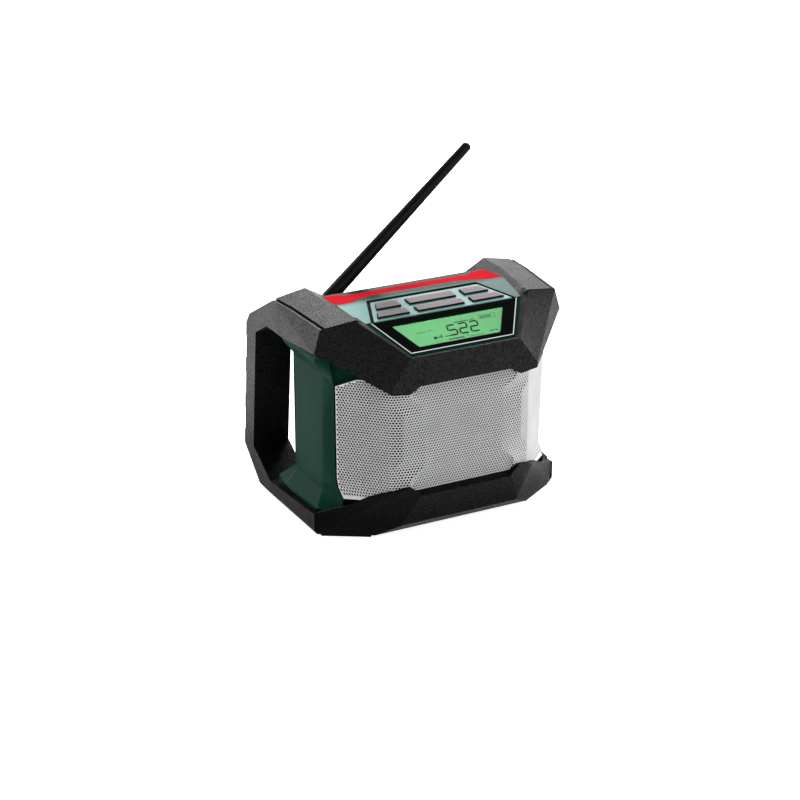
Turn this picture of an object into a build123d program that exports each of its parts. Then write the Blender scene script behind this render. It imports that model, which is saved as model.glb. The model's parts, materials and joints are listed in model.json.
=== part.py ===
from build123d import *
from math import atan2, cos, degrees, radians, sin
from numpy import interp
import os

os.makedirs("parts", exist_ok=True)

# Jobsite radio. Millimetres, +Z up, +X to the right, front towards -Y.
# The origin is on the floor, under the middle of the outer box of the body.

# ---------------------------------------------------------------- driving dimensions
half_width = 131.0          # outer faces of the side handles
front_reach = 106.0         # ledge of the lower bumper
rear_reach = 109.6          # back of the handle straps
wall = 3.0                  # housing shells
part_gap = 0.3              # between pieces that must not touch
foot_height = 2.0           # feet stand this far below the bumper's underside

# side handles
handle_width = 38.0
strap_thickness = 20.5
band_bottom = 178.5         # underside of the upper band, over the fingers
band_floor = 201.0          # the corner cap sits on this level
lip_width = 1.6             # outer lip beside the cap's groove
cap_groove = 2.6            # dark groove between lip and cap
handle_inner = half_width - handle_width
rim_front_y = -48.0
rim_height = 23.0
rim_rear_height = 18.0
band_front_y = -54.0

# green housing
waist_x = half_width - 15.0     # flat side faces
flare_x = half_width - 3.0      # flared top and bottom ends of the side faces
flare_low, flare_foot, waist_low, seam_bend, band_fold = 24.0, 27.5, 40.0, 49.0, 58.0
waist_high, flare_start, flare_edge, flare_high = 150.0, 157.0, 173.5, 178.0
split_y = 20.0              # rear edge of the front housing
gasket_thickness = 1.0
rear_wall_y = 54.0
shoulder_rear_y = 34.0
housing_floor = 6.0
lower_block_x = handle_inner - 0.5
chin_seat = [(-94.0, 27.0), (-90.3, 17.3), (-75.9, housing_floor)]     # the front wall's foot, over the chin

# grille skin, half of it, seen from above
centre_half = 62.7
crease_x, crease_y = 73.2, -94.3
centre_y = -99.2
plate_fold_low, plate_fold_high = 74.0, 134.5       # folds across the middle plate
bevel_low, bevel_high, bevel_run = 82.0, 127.0, 9.0     # bevel between the plate and the crease
panel_step = 3.0            # slanting side of the recessed panels above and below the folds
grille_thickness = 1.4
baffle_depth = 5.2          # from the grille skin back to the baffle
cloth_thickness = 0.6
seam_gap = 1.6
grille_low, grille_high = 41.0, 160.0

# console between the caps
bar_face_y = -102.5
display_low = (-98.5, 184.0)
console_fold = (-61.0, 207.6)
console_rear_fold = (-16.0, 212.2)
console_rear = (split_y, 210.0)
console_wall = 5.0
inlay_depth = 2.0
island_low_half, island_fold_half, island_rear_half = 52.5, 76.0, 58.5
wing_low_half, wing_fold_half, wing_rear_half = 55.0, 83.0, handle_inner + 1.0
island_side_groove, island_rear_groove = 3.3, 4.7       # black channel round the keypad plate

# keys
key_gap = 0.4
key_rise = 1.6
key_foot = 6.5              # underside of a key's flange, below the keypad's face
key_flange, key_flange_thickness = 1.2, 1.2
key_travel = 0.6
mat_gap = key_travel + part_gap
mat_thickness = 1.6
board_thickness = 1.6
window_thickness, lcd_thickness = 1.6, 1.6

# loudspeakers
speaker_x, speaker_z = 30.5, 97.0
speaker_flange_r = 30.0
flange_inner_r = 22.5
speaker_hole_r = 24.5
surround_outer_r = 24.2
flange_thickness = 2.5
speaker_depth = 40.0
magnet_r, magnet_length = 18.0, 14.0
pole_r, pole_length, pole_hole_r = 6.4, 11.5, 9.0
cone_r, cone_throat_r, cone_depth = 19.0, 8.0, 14.0
cone_thickness, coil_length = 0.8, 9.0
cone_gap = 0.3
speaker_screw_circle = 27.2

# antenna
antenna_x, antenna_y, antenna_z = 18.0 - handle_inner, 46.0, 190.0
antenna_lean = 49.07        # from upright towards +X, as it stands
antenna_length = 212.0
rod_foot_r, rod_tip_r, rod_start = 7.1, 4.6, 8.6
eye_r, eye_thickness = 6.2, 6.4
cheek_thickness, cheek_gap = 2.6, 0.3
antenna_pin_r = 2.0
pin_length = eye_thickness + 2 * (cheek_gap + cheek_thickness)
running_gap = 0.05
knuckle_r, disc_thickness = 8.0, 1.2
socket_r, socket_height, stub_r = 10.0, 4.0, 5.0

# battery pack on the rear wall
pack_half, pack_depth = 38.0, 48.0
pack_low, pack_high = 48.0, 144.0
pack_gap = 2.0
lid_height = 8.0
button_half, button_height, button_depth = 12.0, 4.4, 6.0
button_rise, button_travel = 1.2, 2.5
rail_x = 26.5
rail_low, rail_high = 52.0, 102.0
rail_gap = 0.4
cell_r, cell_length = 9.1, 65.0

shank_r, screw_head_r, screw_head_height = 1.5, 3.0, 2.2
thread_gap = 0.03
tower_x, tower_r = 78.0, 4.5
tower_levels = (62.0, 138.0)
screw_seat_y = 36.0
screw_length = 26.0
base_screw_x, base_screw_front, base_screw_rear = 60.0, -70.0, 30.0

# boards inside
post_r = 2.6
keypad_board_level = key_foot + mat_gap + mat_thickness
keypad_post_x, keypad_post_low, keypad_post_high = 74.0, 4.0, 43.0
board_level = 20.0
board_post_x, board_post_front, board_post_rear = 50.0, -58.0, 8.0
sink_centre, sink_width, sink_base = (20.0, -25.0), 30.0, 3.0
fin_height, fin_pitch, fin_width, fin_count = 12.0, 4.8, 1.6, 6
capacitor_x, capacitor_y, capacitor_r = (-36.0, -24.0, -12.0), -8.0, 4.0
chip_centre, chip_width = (-30.0, -36.0), 18.0
coil_centre, coil_size = (38.0, -44.0), (12.0, 8.0)
component_height = 9.0
ribbon_y, ribbon_width, ribbon_thickness = -46.0, 24.0, 0.8
cloth_low, cloth_high, cloth_gap = grille_low + 2.0, 146.0, 0.1
pad_rise = 1.2
rim_wall, rim_pocket_floor = 3.0, 19.0      # lower bumper's rim, and the pocket behind it
rim_pocket_front, rim_pocket_rear = -66.0, -50.5


# ---------------------------------------------------------------- helpers
def mirrored(points):
    """A half outline, from the middle plane outwards, and its mirror image as one closed list."""
    left = [(-x, y) for x, y in points if x > 0]
    return list(points) + left[::-1]


def shifted(points, distance):
    """An open half outline moved outwards, to the front, by a distance, with mitred corners."""
    moved = []
    last = len(points) - 1
    for i, (x, y) in enumerate(points):
        ahead = Vector(*points[min(i + 1, last)]) - Vector(*points[min(i, last - 1)])
        behind = ahead if i == 0 else Vector(x, y) - Vector(*points[i - 1])
        ahead, behind = ahead.normalized(), behind.normalized()
        normals = Vector(ahead.Y + behind.Y, -ahead.X - behind.X)
        reach = distance / (1 + ahead.dot(behind))
        moved.append((x + normals.X * reach, y + normals.Y * reach))
    return moved


def cut_facet(a, b, c, inside):
    """Trims the part in work by the plane through three corners, on the side away from inside."""
    origin = Vector(*a)
    normal = (Vector(*b) - origin).cross(Vector(*c) - origin)
    if normal.dot(Vector(*inside) - origin) > 0:
        normal = -normal
    split(bisect_by=Plane(origin=origin, z_dir=normal), keep=Keep.BOTTOM)


def seam_point(z):
    """Where the grille's skin meets the housing, at a height."""
    heights = (flare_low, waist_low, seam_bend, band_fold, waist_high, flare_high)
    inset = interp(z, heights, (21.5, 21.6, 21.0, 20.2, 18.5, 13.0))
    y = interp(z, heights, (-63.0, -65.5, -55.6, -53.8, -56.0, -57.5))
    return half_width - float(inset), float(y)


def baffle_line(z):
    """The line that the baffle behind the grille follows, half of it, at a height."""
    return [(0.0, centre_y), (centre_half, centre_y), (crease_x, crease_y), seam_point(z)]


side_heights = (flare_low, flare_foot, waist_low, waist_high, flare_start, flare_edge, flare_high)


def corner_point(z):
    """The housing's front vertical corner, at a height."""
    inset = interp(z, side_heights, (2.0, 1.0, 0.0, 0.0, 0.0, 0.5, 1.0))
    y = interp(z, side_heights, (-43.0, -46.5, -36.0, -39.0, -39.0, -47.0, -48.0))
    return side_x(z) - float(inset), float(y)


def side_x(z):
    """The housing's side face, at a height."""
    return float(interp(z, side_heights, (flare_x, flare_x, waist_x, waist_x, waist_x, flare_x, flare_x)))


def side_rear(z):
    """The side face's rear edge and the two corners behind it, at a height."""
    side = side_x(z)
    edge = interp(z, side_heights, (7.0, 7.0, 13.0, 13.0, 13.0, 18.0, 18.0))
    corner = interp(z, side_heights, (41.0, 41.0, 29.0, 29.0, 29.0, 27.0, 27.0))
    back = interp(z, side_heights, (46.0, 46.0, 39.0, 39.0, 38.0, 31.0, 31.0))
    return [(side, float(edge)), (side - 3.0, float(corner)), (side - 14.0, float(back))]


def skin_line(z):
    """The grille's outer skin, half of it, at a height: plate or panel, its step, bevel, crease, seam."""
    folds = (grille_low, 63.0, plate_fold_low, plate_fold_high, 144.0, grille_high)
    half = float(interp(z, folds, (57.0, 51.0, 37.6, 39.2, 53.5, 57.0)))
    panel = float(interp(z, folds, (-98.2, -99.2, -101.1, -99.3, -98.3, -98.3)))
    plane = float(interp(z, folds, (-99.5, -100.5, -101.2, -99.4, -99.5, -99.6)))
    bevel = (bevel_low - bevel_run, bevel_low, bevel_high, bevel_high + bevel_run)
    bevel_x = float(interp(z, bevel, (crease_x - 0.6, centre_half, centre_half, crease_x - 0.6)))
    bevel_y = float(interp(z, bevel, (crease_y - 0.3, centre_y, centre_y, crease_y - 0.3)))
    front = [(0.0, panel), (half, panel), (half + panel_step, plane), (bevel_x, bevel_y)]
    return front + [(crease_x, crease_y), seam_point(z)]


def skin_band(z, outwards, inwards, short):
    """A closed section of a sheet that follows the skin, its ends cut short of the seam."""
    line = skin_line(z)
    run = Vector(*line[-1]) - Vector(*line[-2])
    end = Vector(*line[-1]) - run.normalized() * short
    line[-1] = (end.X, end.Y)
    outer = shifted(line, outwards)
    inner = shifted(line, -inwards)
    outer_full = [(-x, y) for x, y in outer[:0:-1]] + outer
    inner_full = [(-x, y) for x, y in inner[:0:-1]] + inner
    return outer_full + inner_full[::-1]


def housing_outline(z):
    """The housing's outer outline, half of it, at a height: baffle, seam, corner, side, back."""
    baffle = shifted(baffle_line(z), -baffle_depth)
    back_y = float(interp(z, (waist_high, flare_high), (rear_wall_y, shoulder_rear_y)))
    back = [(80.0, back_y), (0.0, back_y)]
    return baffle + [seam_point(z), corner_point(z)] + side_rear(z) + back


def console_profile():
    """The console's side profile from the bar up over display, keypad and rear edge."""
    return [
        (centre_y + baffle_depth, waist_high),
        (display_low[0], waist_high + 20.0),
        display_low,
        console_fold,
        console_rear_fold,
        console_rear,
        (console_rear[0], band_floor - 1.0),
        (shoulder_rear_y, band_floor - 2.0),
        (shoulder_rear_y, waist_high),
    ]


def console_plan(wide):
    """The console's plan, half of it: narrow above the caps' seat, wide below it."""
    fold_y, rear_y = console_fold[0], console_rear[0]
    front = [(0.0, display_low[0]), (wing_low_half, display_low[0]), (wing_fold_half, fold_y)]
    if wide:
        outer = [(handle_inner, fold_y + 9.0), (handle_inner, shoulder_rear_y)]
        return front + outer + [(0.0, shoulder_rear_y)]
    return front + [(wing_rear_half, rear_y), (0.0, rear_y)]


def console_block(z_low, z_high, inset, wide):
    """A slice of the console between two heights, its faces moved in by a wall."""
    with BuildPart() as block:
        with BuildSketch(Plane.YZ):
            Polygon(*console_profile(), align=None)
            if inset:
                offset(amount=-inset, kind=Kind.INTERSECTION)
        extrude(amount=half_width, both=True)
        with BuildSketch(Plane.XY.offset(z_low)):
            Polygon(*mirrored(console_plan(wide)), align=None)
            if inset:
                offset(amount=-inset, kind=Kind.INTERSECTION)
        extrude(amount=z_high - z_low, mode=Mode.INTERSECT)
    return block.part


def housing_body(inset):
    """The housing's whole outer form, or the same form one wall smaller."""
    seat = band_floor - inset
    upper = console_block(seat, console_rear_fold[1] + 10.0, console_wall if inset else 0.0, False)
    shoulder = console_block(waist_high, seat, console_wall if inset else 0.0, True)
    levels = [flare_low + inset, flare_foot, waist_low, seam_bend, band_fold, waist_high]
    levels += [flare_start, flare_edge, flare_high - inset]
    with BuildPart() as body:
        for z in levels:
            with BuildSketch(Plane.XY.offset(z)):
                Polygon(*mirrored(housing_outline(z)), align=None)
                if inset:
                    offset(amount=-inset, kind=Kind.INTERSECTION)
        loft(ruled=True)
        with BuildSketch(Plane.XY.offset(housing_floor + inset)):
            reach = lower_block_x - inset
            front, back = centre_y + baffle_depth + inset, rear_wall_y - inset
            side = [(61.0, front), (reach, -66.0 + inset), (reach, back - 14.0), (78.0, back)]
            Polygon(*mirrored([(0.0, front)] + side + [(0.0, back)]), align=None)
        extrude(amount=waist_low - housing_floor)
        add(shoulder)
        add(upper)
        with BuildSketch(Plane.YZ):
            corners = [(chin_seat[-1][0], -wall), (-front_reach, -wall), (-front_reach, chin_seat[0][1])]
            Polygon(*chin_seat, *corners, align=None)
            if inset:
                offset(amount=inset, kind=Kind.INTERSECTION)
        extrude(amount=half_width, both=True, mode=Mode.SUBTRACT)
    return body.part


def along(plane, x, y, z=0.0):
    """A point given in a plane's own directions."""
    return plane.from_local_coords((x, y, z))


# ---------------------------------------------------------------- shared planes and volumes
display_angle = degrees(atan2(console_fold[1] - display_low[1], console_fold[0] - display_low[0]))
keypad_angle = degrees(atan2(console_rear_fold[1] - console_fold[1], console_rear_fold[0] - console_fold[0]))
strip_angle = degrees(atan2(console_rear[1] - console_rear_fold[1], console_rear[0] - console_rear_fold[0]))


def sloped(start, angle):
    """A plane that lies on a console face: local X to the right, local Y up the slope."""
    turn = radians(angle)
    return Plane(origin=(0, start[0], start[1]), x_dir=(1, 0, 0), z_dir=(0, -sin(turn), cos(turn)))


display_plane = sloped(display_low, display_angle)
keypad_plane = sloped(console_fold, keypad_angle)
strip_plane = sloped(console_rear_fold, strip_angle)
display_run = (console_fold[0] - display_low[0]) / cos(radians(display_angle))
keypad_run = (console_rear_fold[0] - console_fold[0]) / cos(radians(keypad_angle))

housing_outer = housing_body(0.0)
housing_inner = housing_body(wall)

# corners of the facets, right-hand side
cap_front_in = (half_width - 40.4, -59.8, 212.4)
cap_front_out = (half_width - 7.2, -54.2, 206.8)
cap_crease_in = (half_width - 35.0, 5.0, 215.9)
cap_rear_in = (half_width - 33.9, 35.0, 215.8)
cap_rear_out = (half_width, 33.0, 209.6)
console_corner = (wing_fold_half, console_fold[0], console_fold[1] + 0.6)
body_middle = (0.0, 0.0, 100.0)


def cut_cap_planes(drop):
    """The sloping top of a corner cap, in its two facets, lowered by a drop."""
    for corners in ((cap_front_in, cap_front_out, cap_crease_in), (cap_crease_in, cap_rear_in, cap_rear_out)):
        cut_facet(*[(x, y, z - drop) for x, y, z in corners], body_middle)


def cut_side_lean():
    """The upper side facet that leans in towards the front."""
    front_top = (cap_front_out[0] + 0.4, band_front_y, 207.0)
    cut_facet(cap_rear_out, (half_width, band_front_y, 184.0), front_top, body_middle)


# ---------------------------------------------------------------- front housing
key_rows = ((22.0, 33.0, 55.0), (5.2, 14.8, 62.4))      # low edge, high edge, outer edge
key_centre_half, key_side_in = 24.5, 33.5
key_slant = 4.4


def key_shape(row, column, grow):
    """One key's outline on the keypad plane, grown by a gap; the outer edges of side keys slant."""
    low, high, outer = key_rows[row]
    if column == 0:
        half = key_centre_half
        corners = [(-half, low), (half, low), (half, high), (-half, high)]
    else:
        corners = [(key_side_in, low), (outer + key_slant, low), (outer, high), (key_side_in, high)]
        corners = [(column * x, y) for x, y in corners]
    Polygon(*corners, align=None)
    if grow:
        offset(amount=grow, kind=Kind.INTERSECTION)


window_low, window_high = 8.5, 36.0
window_low_half, window_high_half = 42.5, 58.5
lcd_margin = 2.0


def trapezoid(low, high, low_half, high_half, grow=0.0):
    """A symmetric trapezoid in the sketch in work, between two levels of local Y."""
    Polygon((-low_half, low), (low_half, low), (high_half, high), (-high_half, high), align=None)
    if grow:
        offset(amount=grow, kind=Kind.INTERSECTION)


fold_gap = 0.6              # each side of the fold between display and keypad
bezel_low = 2.2
bezel_high = display_run - fold_gap
plate_low = fold_gap
plate_seat_high = keypad_run - 1.0
plate_high = plate_seat_high - island_rear_groove
plate_low_half = island_fold_half - island_side_groove
plate_slant = (island_fold_half - island_rear_half) / (plate_seat_high - plate_low)
plate_high_half = island_rear_half + island_rear_groove * plate_slant - island_side_groove
strip_half_outline = [
    (0.0, 13.2), (45.0, 12.4), (64.8, 6.0), (71.5, 0.8), (handle_inner - 5.0, 0.8),
    (handle_inner - 1.0, 32.5), (73.0, 32.5), (66.5, 26.0), (45.0, 26.5), (0.0, 27.9),
]
strip_depth = 1.2
inlay_gap = 0.2

# long screw towers that run to the housing's front wall
with BuildPart() as front_towers:
    for x in (-tower_x, tower_x):
        for z in tower_levels:
            with BuildSketch(Plane(origin=(x, split_y, z), x_dir=(1, 0, 0), z_dir=(0, -1, 0))):
                Circle(tower_r)
            extrude(amount=split_y - centre_y)
    add(housing_outer, mode=Mode.INTERSECT)

with BuildPart() as front_housing:
    add(housing_outer)
    add(housing_inner, mode=Mode.SUBTRACT)
    split(bisect_by=Plane.XZ.offset(-split_y), keep=Keep.TOP)
    add(front_towers.part)
    # seats for the display surround, the keypad plate and the accent strip
    with BuildSketch(display_plane):
        trapezoid(bezel_low, bezel_high, island_low_half, island_fold_half, inlay_gap)
    extrude(amount=-inlay_depth, mode=Mode.SUBTRACT)
    with BuildSketch(keypad_plane):
        trapezoid(plate_low, plate_seat_high, island_fold_half, island_rear_half, inlay_gap)
        with Locations((0, plate_low)):
            Rectangle(2 * island_fold_half, 2 * fold_gap, align=(Align.CENTER, Align.MAX))
    extrude(amount=-inlay_depth, mode=Mode.SUBTRACT)
    with BuildSketch(strip_plane):
        Polygon(*mirrored(strip_half_outline), align=None)
        offset(amount=inlay_gap, kind=Kind.INTERSECTION)
    extrude(amount=-strip_depth, mode=Mode.SUBTRACT)
    # window and key openings through the wall
    with BuildSketch(display_plane):
        trapezoid(window_low, window_high, window_low_half, window_high_half, lcd_margin + part_gap)
    extrude(amount=-3 * console_wall, mode=Mode.SUBTRACT)
    for row in (0, 1):
        for column in (-1, 0, 1):
            with BuildSketch(keypad_plane):
                key_shape(row, column, key_gap)
            extrude(amount=-3 * console_wall, mode=Mode.SUBTRACT)
    # loudspeaker openings and their blind screw holes
    for x in (-speaker_x, speaker_x):
        with BuildSketch(Plane(origin=(x, centre_y, speaker_z), x_dir=(1, 0, 0), z_dir=(0, 1, 0))):
            Circle(speaker_hole_r)
        extrude(amount=baffle_depth + 2 * wall, mode=Mode.SUBTRACT)
        seat = (x, centre_y + baffle_depth + wall, speaker_z)
        with BuildSketch(Plane(origin=seat, x_dir=(1, 0, 0), z_dir=(0, -1, 0))):
            with PolarLocations(speaker_screw_circle, 4, start_angle=45):
                Circle(shank_r + thread_gap)
        extrude(amount=wall - 0.6, mode=Mode.SUBTRACT)
    # threaded holes for the housing screws and the base screws
    for x in (-tower_x, tower_x):
        for z in tower_levels:
            with BuildSketch(Plane(origin=(x, split_y, z), x_dir=(1, 0, 0), z_dir=(0, -1, 0))):
                Circle(shank_r + thread_gap)
            extrude(amount=split_y + screw_length - screw_seat_y + 4.0, mode=Mode.SUBTRACT)
    with BuildSketch(Plane.XY.offset(housing_floor)):
        with Locations((-base_screw_x, base_screw_front), (base_screw_x, base_screw_front)):
            Circle(shank_r + thread_gap)
    extrude(amount=wall - inlay_gap, mode=Mode.SUBTRACT)
    # posts that carry the keypad board, and the main board
    for x in (-keypad_post_x, keypad_post_x):
        for y in (keypad_post_low, keypad_post_high):
            with BuildSketch(keypad_plane.offset(-keypad_board_level)):
                with Locations((x, y)):
                    Circle(post_r)
            extrude(amount=keypad_board_level - inlay_depth - 1.0)
    for x in (-board_post_x, board_post_x):
        for y in (board_post_front, board_post_rear):
            with BuildSketch(Plane.XY.offset(housing_floor + 1.0)):
                with Locations((x, y)):
                    Circle(post_r)
            extrude(amount=board_level - housing_floor - 1.0)
front_housing.part.label = "front_housing"
export_step(front_housing.part, "parts/front_housing.step")

# ---------------------------------------------------------------- rear housing
port_holes = ((54.0, 3.3), (66.0, 4.3))
port_z = 128.0
flap_left, flap_right, flap_hinge_z, flap_top = 47.5, 72.5, 117.0, 138.0
flap_barrel_r, flap_pin_r, ear_width = 1.7, 0.9, 2.4
flap_barrel_y = rear_wall_y + 2.4
rail_stem, rail_head, rail_reach, rail_head_depth = 3.0, 8.0, 7.5, 3.2

with BuildPart() as rear_housing:
    add(housing_outer)
    add(housing_inner, mode=Mode.SUBTRACT)
    split(bisect_by=Plane.XZ.offset(-split_y - gasket_thickness), keep=Keep.BOTTOM)
    for x in (-tower_x, tower_x):
        for z in tower_levels:
            with BuildSketch(Plane(origin=(x, split_y + gasket_thickness, z), x_dir=(1, 0, 0), z_dir=(0, 1, 0))):
                Circle(tower_r)
            extrude(amount=rear_wall_y - wall / 2 - split_y - gasket_thickness)
            with BuildSketch(Plane(origin=(x, split_y, z), x_dir=(1, 0, 0), z_dir=(0, 1, 0))):
                Circle(shank_r + part_gap)
            extrude(amount=rear_wall_y - split_y, mode=Mode.SUBTRACT)
            with BuildSketch(Plane(origin=(x, screw_seat_y, z), x_dir=(1, 0, 0), z_dir=(0, 1, 0))):
                Circle(screw_head_r + part_gap)
            extrude(amount=rear_wall_y, mode=Mode.SUBTRACT)
    with BuildSketch(Plane.XY.offset(housing_floor)):
        with Locations((-base_screw_x, base_screw_rear), (base_screw_x, base_screw_rear)):
            Circle(shank_r + thread_gap)
    extrude(amount=wall - inlay_gap, mode=Mode.SUBTRACT)
    # rails for the battery pack
    for x in (-rail_x, rail_x):
        with BuildSketch(Plane.XY.offset(rail_low)):
            with Locations((x, rear_wall_y - 0.5)):
                Rectangle(rail_stem, rail_reach + 0.5, align=(Align.CENTER, Align.MIN))
            with Locations((x, rear_wall_y + rail_reach)):
                Rectangle(rail_head, rail_head_depth, align=(Align.CENTER, Align.MAX))
        extrude(amount=rail_high - rail_low)
    # sockets' holes and the flap's ears
    for x, r in port_holes:
        with BuildSketch(Plane(origin=(x, rear_wall_y - 2 * wall, port_z), x_dir=(1, 0, 0), z_dir=(0, 1, 0))):
            Circle(r + part_gap)
        extrude(amount=3 * wall, mode=Mode.SUBTRACT)
    for x in (flap_left - part_gap - ear_width, flap_right + part_gap):
        with BuildSketch(Plane.YZ.offset(x)):
            with Locations((rear_wall_y - 0.5, flap_hinge_z)):
                Rectangle(flap_barrel_y - rear_wall_y + 0.5, 2 * flap_barrel_r, align=(Align.MIN, Align.CENTER))
            with Locations((flap_barrel_y, flap_hinge_z)):
                Circle(flap_barrel_r)
                Circle(flap_pin_r + running_gap, mode=Mode.SUBTRACT)
        extrude(amount=ear_width)
rear_housing.part.label = "rear_housing"
export_step(rear_housing.part, "parts/rear_housing.step")

with BuildPart() as housing_gasket:
    add(housing_outer)
    add(housing_inner, mode=Mode.SUBTRACT)
    split(bisect_by=Plane.XZ.offset(-split_y), keep=Keep.BOTTOM)
    split(bisect_by=Plane.XZ.offset(-split_y - gasket_thickness), keep=Keep.TOP)
housing_gasket.part.label = "housing_gasket"
export_step(housing_gasket.part, "parts/housing_gasket.step")

# ---------------------------------------------------------------- speaker grille and its cloth
bevel_levels = (bevel_low - bevel_run, bevel_low, bevel_high, bevel_high + bevel_run)
grille_levels = sorted((grille_low, seam_bend, band_fold, 63.0, plate_fold_low, plate_fold_high, 144.0,
                        waist_high, grille_high) + bevel_levels)
grille_seam_top = 151.0
grille_trim_in, grille_trim_out = half_width - 35.0, half_width - 20.0


def trim_top_corners(drop):
    """The sheet's top edge drops towards each seam, level with the arms' slanting undersides."""
    for sign in (-1, 1):
        high = (sign * grille_trim_in, centre_y, grille_high - drop)
        low = (sign * grille_trim_out, 0.0, grille_seam_top - drop)
        cut_facet(high, (high[0], 0.0, high[2]), low, body_middle)


with BuildPart() as speaker_grille:
    for z in grille_levels:
        with BuildSketch(Plane.XY.offset(z)):
            Polygon(*skin_band(z, 0.0, grille_thickness, seam_gap), align=None)
    loft(ruled=True)
    trim_top_corners(0.0)
speaker_grille.part.label = "speaker_grille"
export_step(speaker_grille.part, "parts/speaker_grille.step")

cloth_levels = (waist_low, seam_bend, band_fold, waist_high)
with BuildPart() as grille_cloth:
    for z in cloth_levels:
        back = shifted(baffle_line(z), cloth_gap - baffle_depth)
        front = shifted(baffle_line(z), cloth_thickness - baffle_depth)
        end = Vector(*back[-1]) + (Vector(*back[-2]) - Vector(*back[-1])).normalized() * seam_gap
        front_end = Vector(*front[-1]) + (Vector(*front[-2]) - Vector(*front[-1])).normalized() * seam_gap
        half_back = back[:-1] + [(end.X, end.Y)]
        half_front = front[:-1] + [(front_end.X, front_end.Y)]
        whole_front = [(-x, y) for x, y in half_front[:0:-1]] + half_front
        whole_back = [(-x, y) for x, y in half_back[:0:-1]] + half_back
        with BuildSketch(Plane.XY.offset(z)):
            Polygon(*(whole_front + whole_back[::-1]), align=None)
    loft(ruled=True)
    split(bisect_by=Plane.XY.offset(cloth_low), keep=Keep.TOP)
    split(bisect_by=Plane.XY.offset(cloth_high), keep=Keep.BOTTOM)
grille_cloth.part.label = "grille_cloth"
export_step(grille_cloth.part, "parts/grille_cloth.step")

# room for the grille in the two bumpers
with BuildPart() as grille_slot:
    for z in (grille_low - part_gap, *grille_levels[1:-1], grille_high + part_gap):
        with BuildSketch(Plane.XY.offset(z)):
            outer = shifted(skin_line(max(z, grille_low)), part_gap)
            inner = shifted(baffle_line(z), -baffle_depth - 1.0)
            outer_full = [(-x, y) for x, y in outer[:0:-1]] + outer
            inner_full = [(-x, y) for x, y in inner[:0:-1]] + inner
            Polygon(*outer_full, *inner_full[::-1], align=None)
    loft(ruled=True)

# ---------------------------------------------------------------- side handles
strap_face_y = rear_reach - pad_rise
strap_top_y, strap_top, strap_foot = 95.4, 169.6, 36.0     # the strap leans back towards its foot
handle_outline = [
    (band_front_y, band_bottom), (band_front_y, 212.0), (33.0, 212.0), (33.0, 209.4), (88.6, 179.0),
    (strap_top_y, strap_top),
    (strap_face_y, strap_foot), (71.0, foot_height), (rim_front_y - 1.0, foot_height),
    (rim_front_y - 1.0, rim_height), (49.8, rim_rear_height), (strap_face_y - strap_thickness, strap_foot + 5.0),
    (strap_top_y - strap_thickness, 164.0), (48.8, band_bottom),
]
grip_pads = ((36.8, 51.5), (76.0, 91.0), (115.0, 129.5), (154.0, 169.0))     # raised bars, low and high end
cap_front_y, cap_rear_y, cap_inner_x = -62.0, 35.0, handle_inner - 23.0


def cap_seat(margin):
    """The plan of a corner cap, right-hand side, widened at its groove by a margin."""
    rear = half_width - lip_width - cap_groove + margin
    front = cap_front_out[0] - lip_width - cap_groove + margin
    tip = front + (rear - front) * (cap_front_y - band_front_y) / (cap_rear_y - band_front_y)
    return [(cap_inner_x, cap_front_y), (tip, cap_front_y), (rear, cap_rear_y), (cap_inner_x, cap_rear_y)]


for side, sign in (("left", -1), ("right", 1)):
    with BuildPart() as handle:
        with BuildSketch(Plane.YZ.offset(handle_inner)):
            Polygon(*handle_outline, align=None)
        extrude(amount=handle_width)
        # grip pads on the back of the strap
        lean = degrees(atan2(strap_face_y - strap_top_y, strap_top - strap_foot))
        for pad_foot, pad_top in grip_pads:
            z = (pad_foot + pad_top) / 2
            y = float(interp(z, (strap_foot, strap_top), (strap_face_y, strap_top_y)))
            pad_plane = Plane(origin=(half_width - handle_width / 2, y, z), x_dir=(1, 0, 0), z_dir=(0, 1, 0))
            with BuildSketch(pad_plane.rotated((lean, 0, 0))):
                Rectangle(handle_width, pad_top - pad_foot)
            extrude(amount=pad_rise)
        with BuildSketch(Plane.XY):
            with Locations((half_width - handle_width / 2, 56.0)):
                Rectangle(handle_width - 12.0, 24.0)
        extrude(amount=foot_height)
        # facets: cap planes, lean of the band, its lower edge, foot edge
        cut_cap_planes(0.5)
        cut_side_lean()
        with BuildSketch(Plane.XZ.offset(1.0 - band_front_y)):
            wedge_foot = band_bottom - 1.0
            wedge_out = half_width + 1.0
            Polygon((half_width - 7.1, wedge_foot), (wedge_out, wedge_foot), (wedge_out, 185.7), align=None)
        with BuildSketch(Plane.XZ.offset(-split_y)):
            Polygon((half_width - 0.1, wedge_foot), (wedge_out, wedge_foot), (wedge_out, band_bottom), align=None)
        loft(ruled=True, mode=Mode.SUBTRACT)
        cut_facet((half_width, 0.0, 6.0), (half_width, 40.0, 6.0), (half_width - 4.0, 0.0, 0.0), body_middle)
        # seat of the cap, and the hollow under it
        with BuildSketch(Plane.XY.offset(band_floor)):
            Polygon(*cap_seat(cap_groove), align=None)
        extrude(amount=20.0, mode=Mode.SUBTRACT)
        with BuildSketch(Plane.XY.offset(band_bottom + 4.0)):
            with Locations((handle_inner + 4.0, band_front_y + 6.0)):
                Rectangle(handle_width - 13.0, 70.0, align=Align.MIN)
        extrude(amount=band_floor, mode=Mode.SUBTRACT)
        if sign < 0:
            mirror(about=Plane.YZ, mode=Mode.REPLACE)
    handle.part.label = f"{side}_handle"
    export_step(handle.part, f"parts/{side}_handle.step")

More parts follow.
